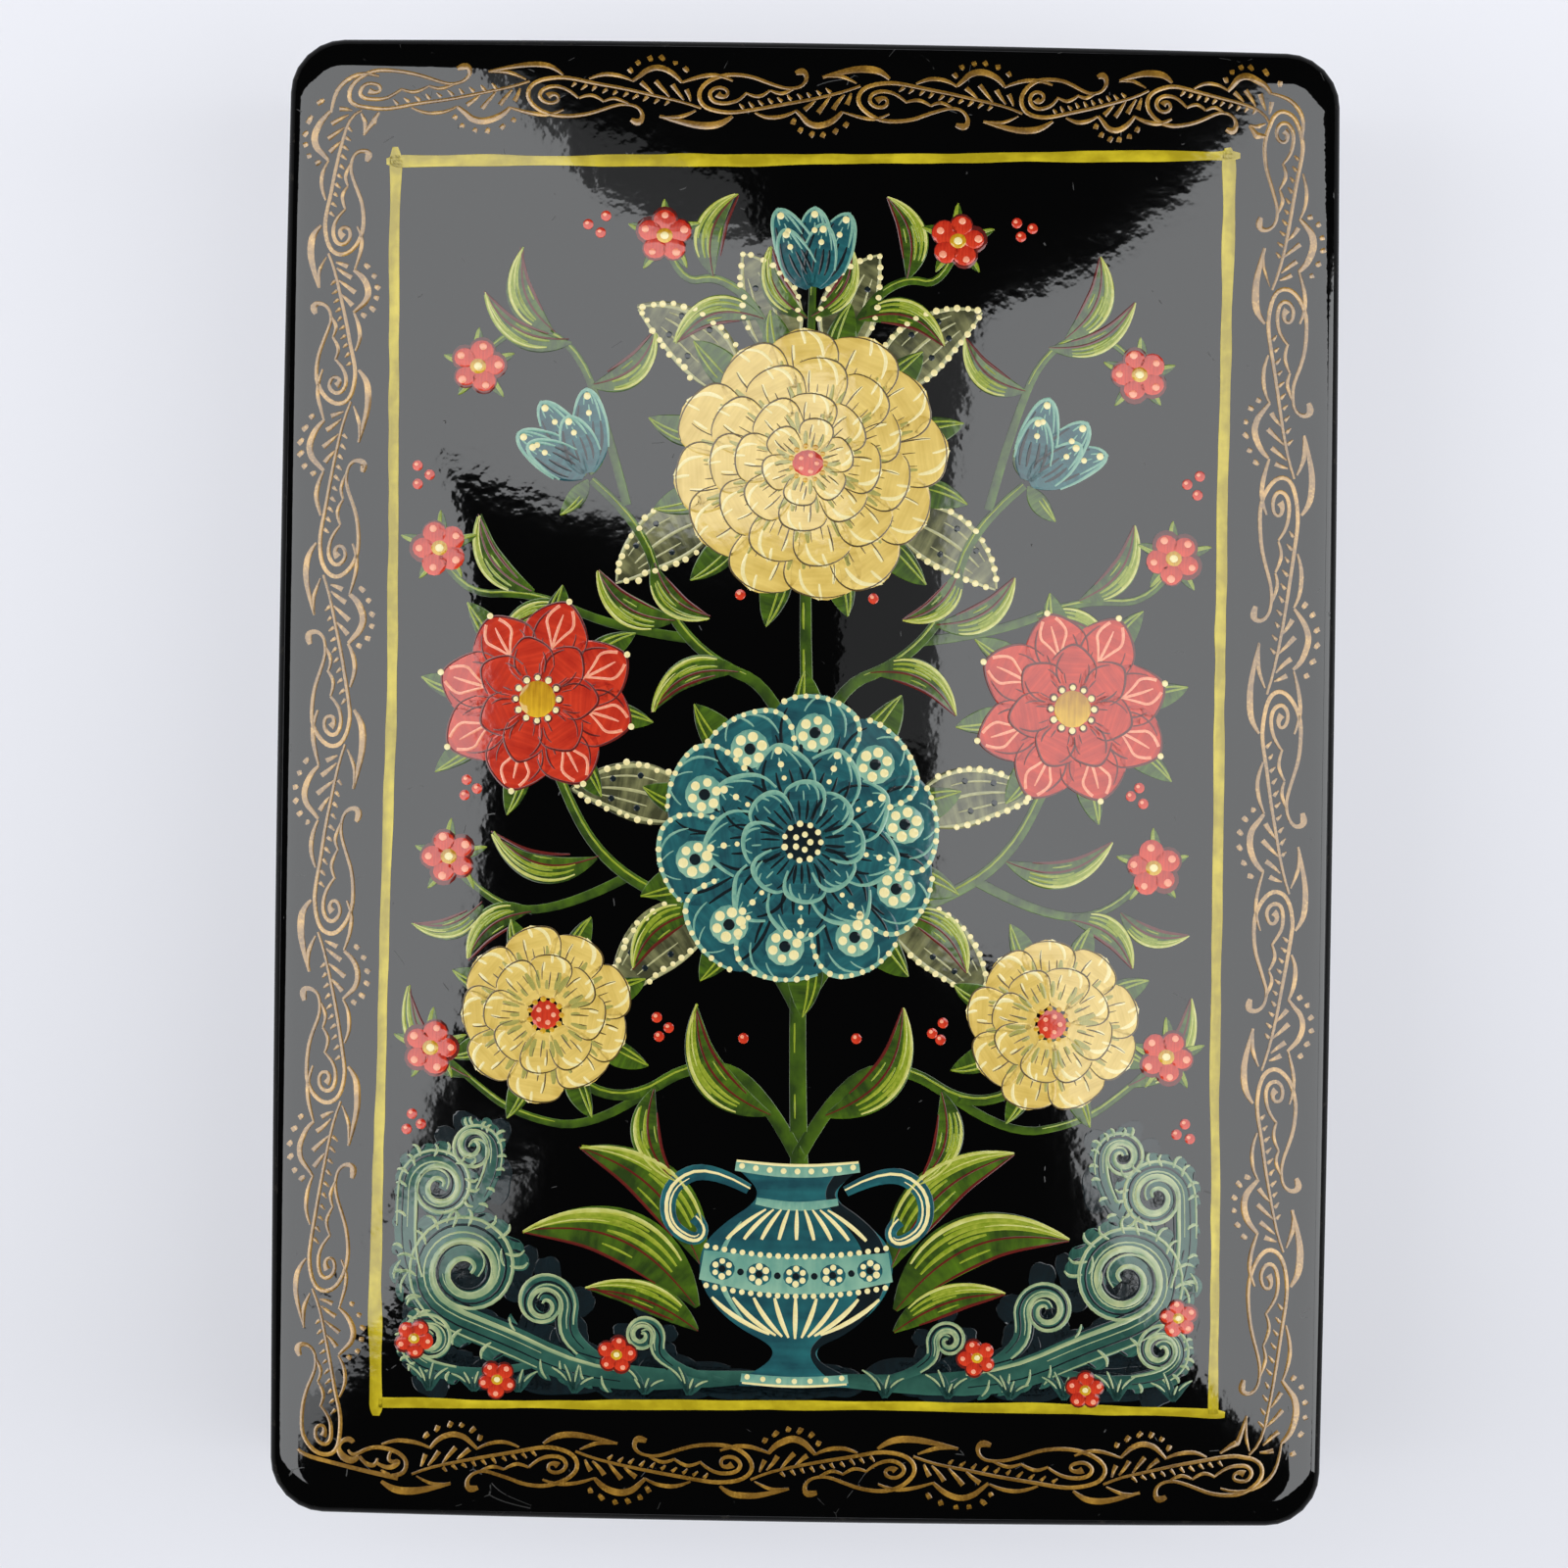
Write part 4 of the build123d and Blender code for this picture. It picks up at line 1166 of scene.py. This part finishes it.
berry_places = [(12.6, -24.0), (13.6, -23.0), (13.4, -24.6), (5.4, -24.6), (31.2, -1.2), (32.4, -1.9),
                (32.0, -0.4), (37.2, 27.6), (36.2, 28.6), (37.4, 29.4), (20.0, 52.0), (21.1, 52.8),
                (19.6, 53.3), (6.4, 17.2), (36.9, -32.4), (36.1, -33.4), (37.4, -33.8)]
for ((x, y),), (radius,) in both_sides([([place], [0.5]) for place in berry_places]):
    coral_dots.append(disc(x, y, radius))
    rose_dots.append(disc(x - 0.13, y + 0.15, 0.18))
lay_coat("mint_dots", mint_dots, 5.7, mint, bead_print, 0.004)
lay_coat("coral_curls", coral_curls, 5.7, rose, line_print)
lay_coat("oxblood_dots", oxblood_dots, 7.4, oxblood, bead_print, 0.006)
lay_coat("coral_dots", coral_dots, 7.7, coral, bead_print, 0.008)
lay_coat("navy_dots", navy_dots, 7.7, navy, bead_print, 0.006)
lay_coat("amber_dots", amber_dots, 8.2, amber, bead_print, 0.01)
lay_coat("rose_dots", rose_dots, 8.6, rose, bead_print, 0.012)
lay_coat("cream_dots", cream_dots, 8.6, cream, bead_print, 0.014)
for marker in (line_print, wide_print, bead_print):
    bpy.data.objects.remove(marker)

# Camera, floor and light: the camera looks straight down on the lid, on a white table between soft windows.
# The lid is black where it mirrors the dark room and a milky grey where it mirrors a window.
camera_data = bpy.data.cameras.new("camera")
camera = into_scene("camera", camera_data)
camera.location = (-2.0 * mm, -0.16 * mm, 488 * mm)
camera.rotation_euler = (0, 0, radians(0.85))
camera_data.lens = 109.6
camera_data.sensor_width = 36
bpy.context.scene.camera = camera

bpy.ops.mesh.primitive_plane_add(size=8)
floor = bpy.context.active_object
floor.name = "table"
table_paint, table_shader = new_material("white_painted_table")
feed(table_paint, table_shader, {"Base Color": color("#eff0f6"), "Roughness": 0.6})
rays = add_node(table_paint, "LightPath").node.outputs
seen = add_node(table_paint, "Math", (rays["Is Camera Ray"], rays["Is Glossy Ray"]), operation="MAXIMUM")
seen = add_node(table_paint, "Math", (seen, rays["Is Transmission Ray"]), operation="MAXIMUM")
evened = add_node(table_paint, "Math", (seen, 0.63), operation="MULTIPLY")
# Painted shade: the table's glow dims smoothly from full to 0.82 towards -y, darkening the near side of the
# table and the ground below the box.
table_place = add_node(table_paint, "TexCoord", out="Object")
along_table = add_node(table_paint, "SeparateXYZ", (table_place,), "Y")
painted_near_side_shade = add_node(table_paint, "MapRange", (along_table, -0.12, 0.08, 0.82, 1.0),
                       interpolation_type="SMOOTHSTEP")
pale = add_node(table_paint, "Emission", {"Color": color("#edeef5"), "Strength": painted_near_side_shade})
mixed = add_node(table_paint, "MixShader", (evened, table_shader.outputs["BSDF"], pale))
feed(table_paint, table_paint.node_tree.nodes["Material Output"], {"Surface": mixed})
floor.data.materials.append(table_paint)

window_radiance = 4.1
window_height = 1.04


def hang_window(name, width, depth, share, centre, turn=0.0):
    """A soft window that shines down, or sideways once it is turned."""
    light = bpy.data.lights.new(name, "AREA")
    light.shape = "RECTANGLE"
    light.size, light.size_y = width, depth
    light.energy = window_radiance * share * pi * light.size * light.size_y
    light.color = (0.96, 0.98, 1.0)
    lamp = into_scene(name, light)
    lamp.location = centre
    lamp.rotation_euler = (0, turn, 0)


# Each window: its two ends in x, its two ends in y, and its share of the brightness. All face down.
windows = {"left_wide": (-2.4, -0.118, 0.15, 0.385, 1), "left_step": (-0.118, -0.015, 0.15, 0.335, 1),
           "left_tip": (-0.015, 0.035, 0.15, 0.255, 1), "left_dim": (-0.118, -0.03, 0.335, 0.375, 0.15),
           "middle_dim": (0.035, 0.12, 0.02, 0.27, 0.12), "left_lower": (-2.4, -0.29, -0.43, 0.15, 1),
           "left_foot": (-0.29, -0.235, -0.232, -0.188, 1), "left_heel": (-0.235, -0.2, -0.24, -0.208, 0.6),
           "right_upper": (0.12, 2.6, -0.1, 0.28, 1), "right_lower": (0.22, 2.6, -0.45, -0.1, 1)}
for name, (x_low, x_high, y_low, y_high, share) in windows.items():
    hang_window(name, x_high - x_low, y_high - y_low, share,
                ((x_low + x_high) / 2, (y_low + y_high) / 2, window_height))
hang_window("right_wall", 0.95, 0.9, 1, (2.6, -0.1, 0.53), radians(90))

room = bpy.data.worlds.new("dark_room")
bpy.context.scene.world = room
room.use_nodes = True
feed(room, room.node_tree.nodes["Background"], {"Color": (0.93, 0.96, 1.0, 1), "Strength": 0.02})
bpy.context.scene.view_settings.view_transform = "Standard"
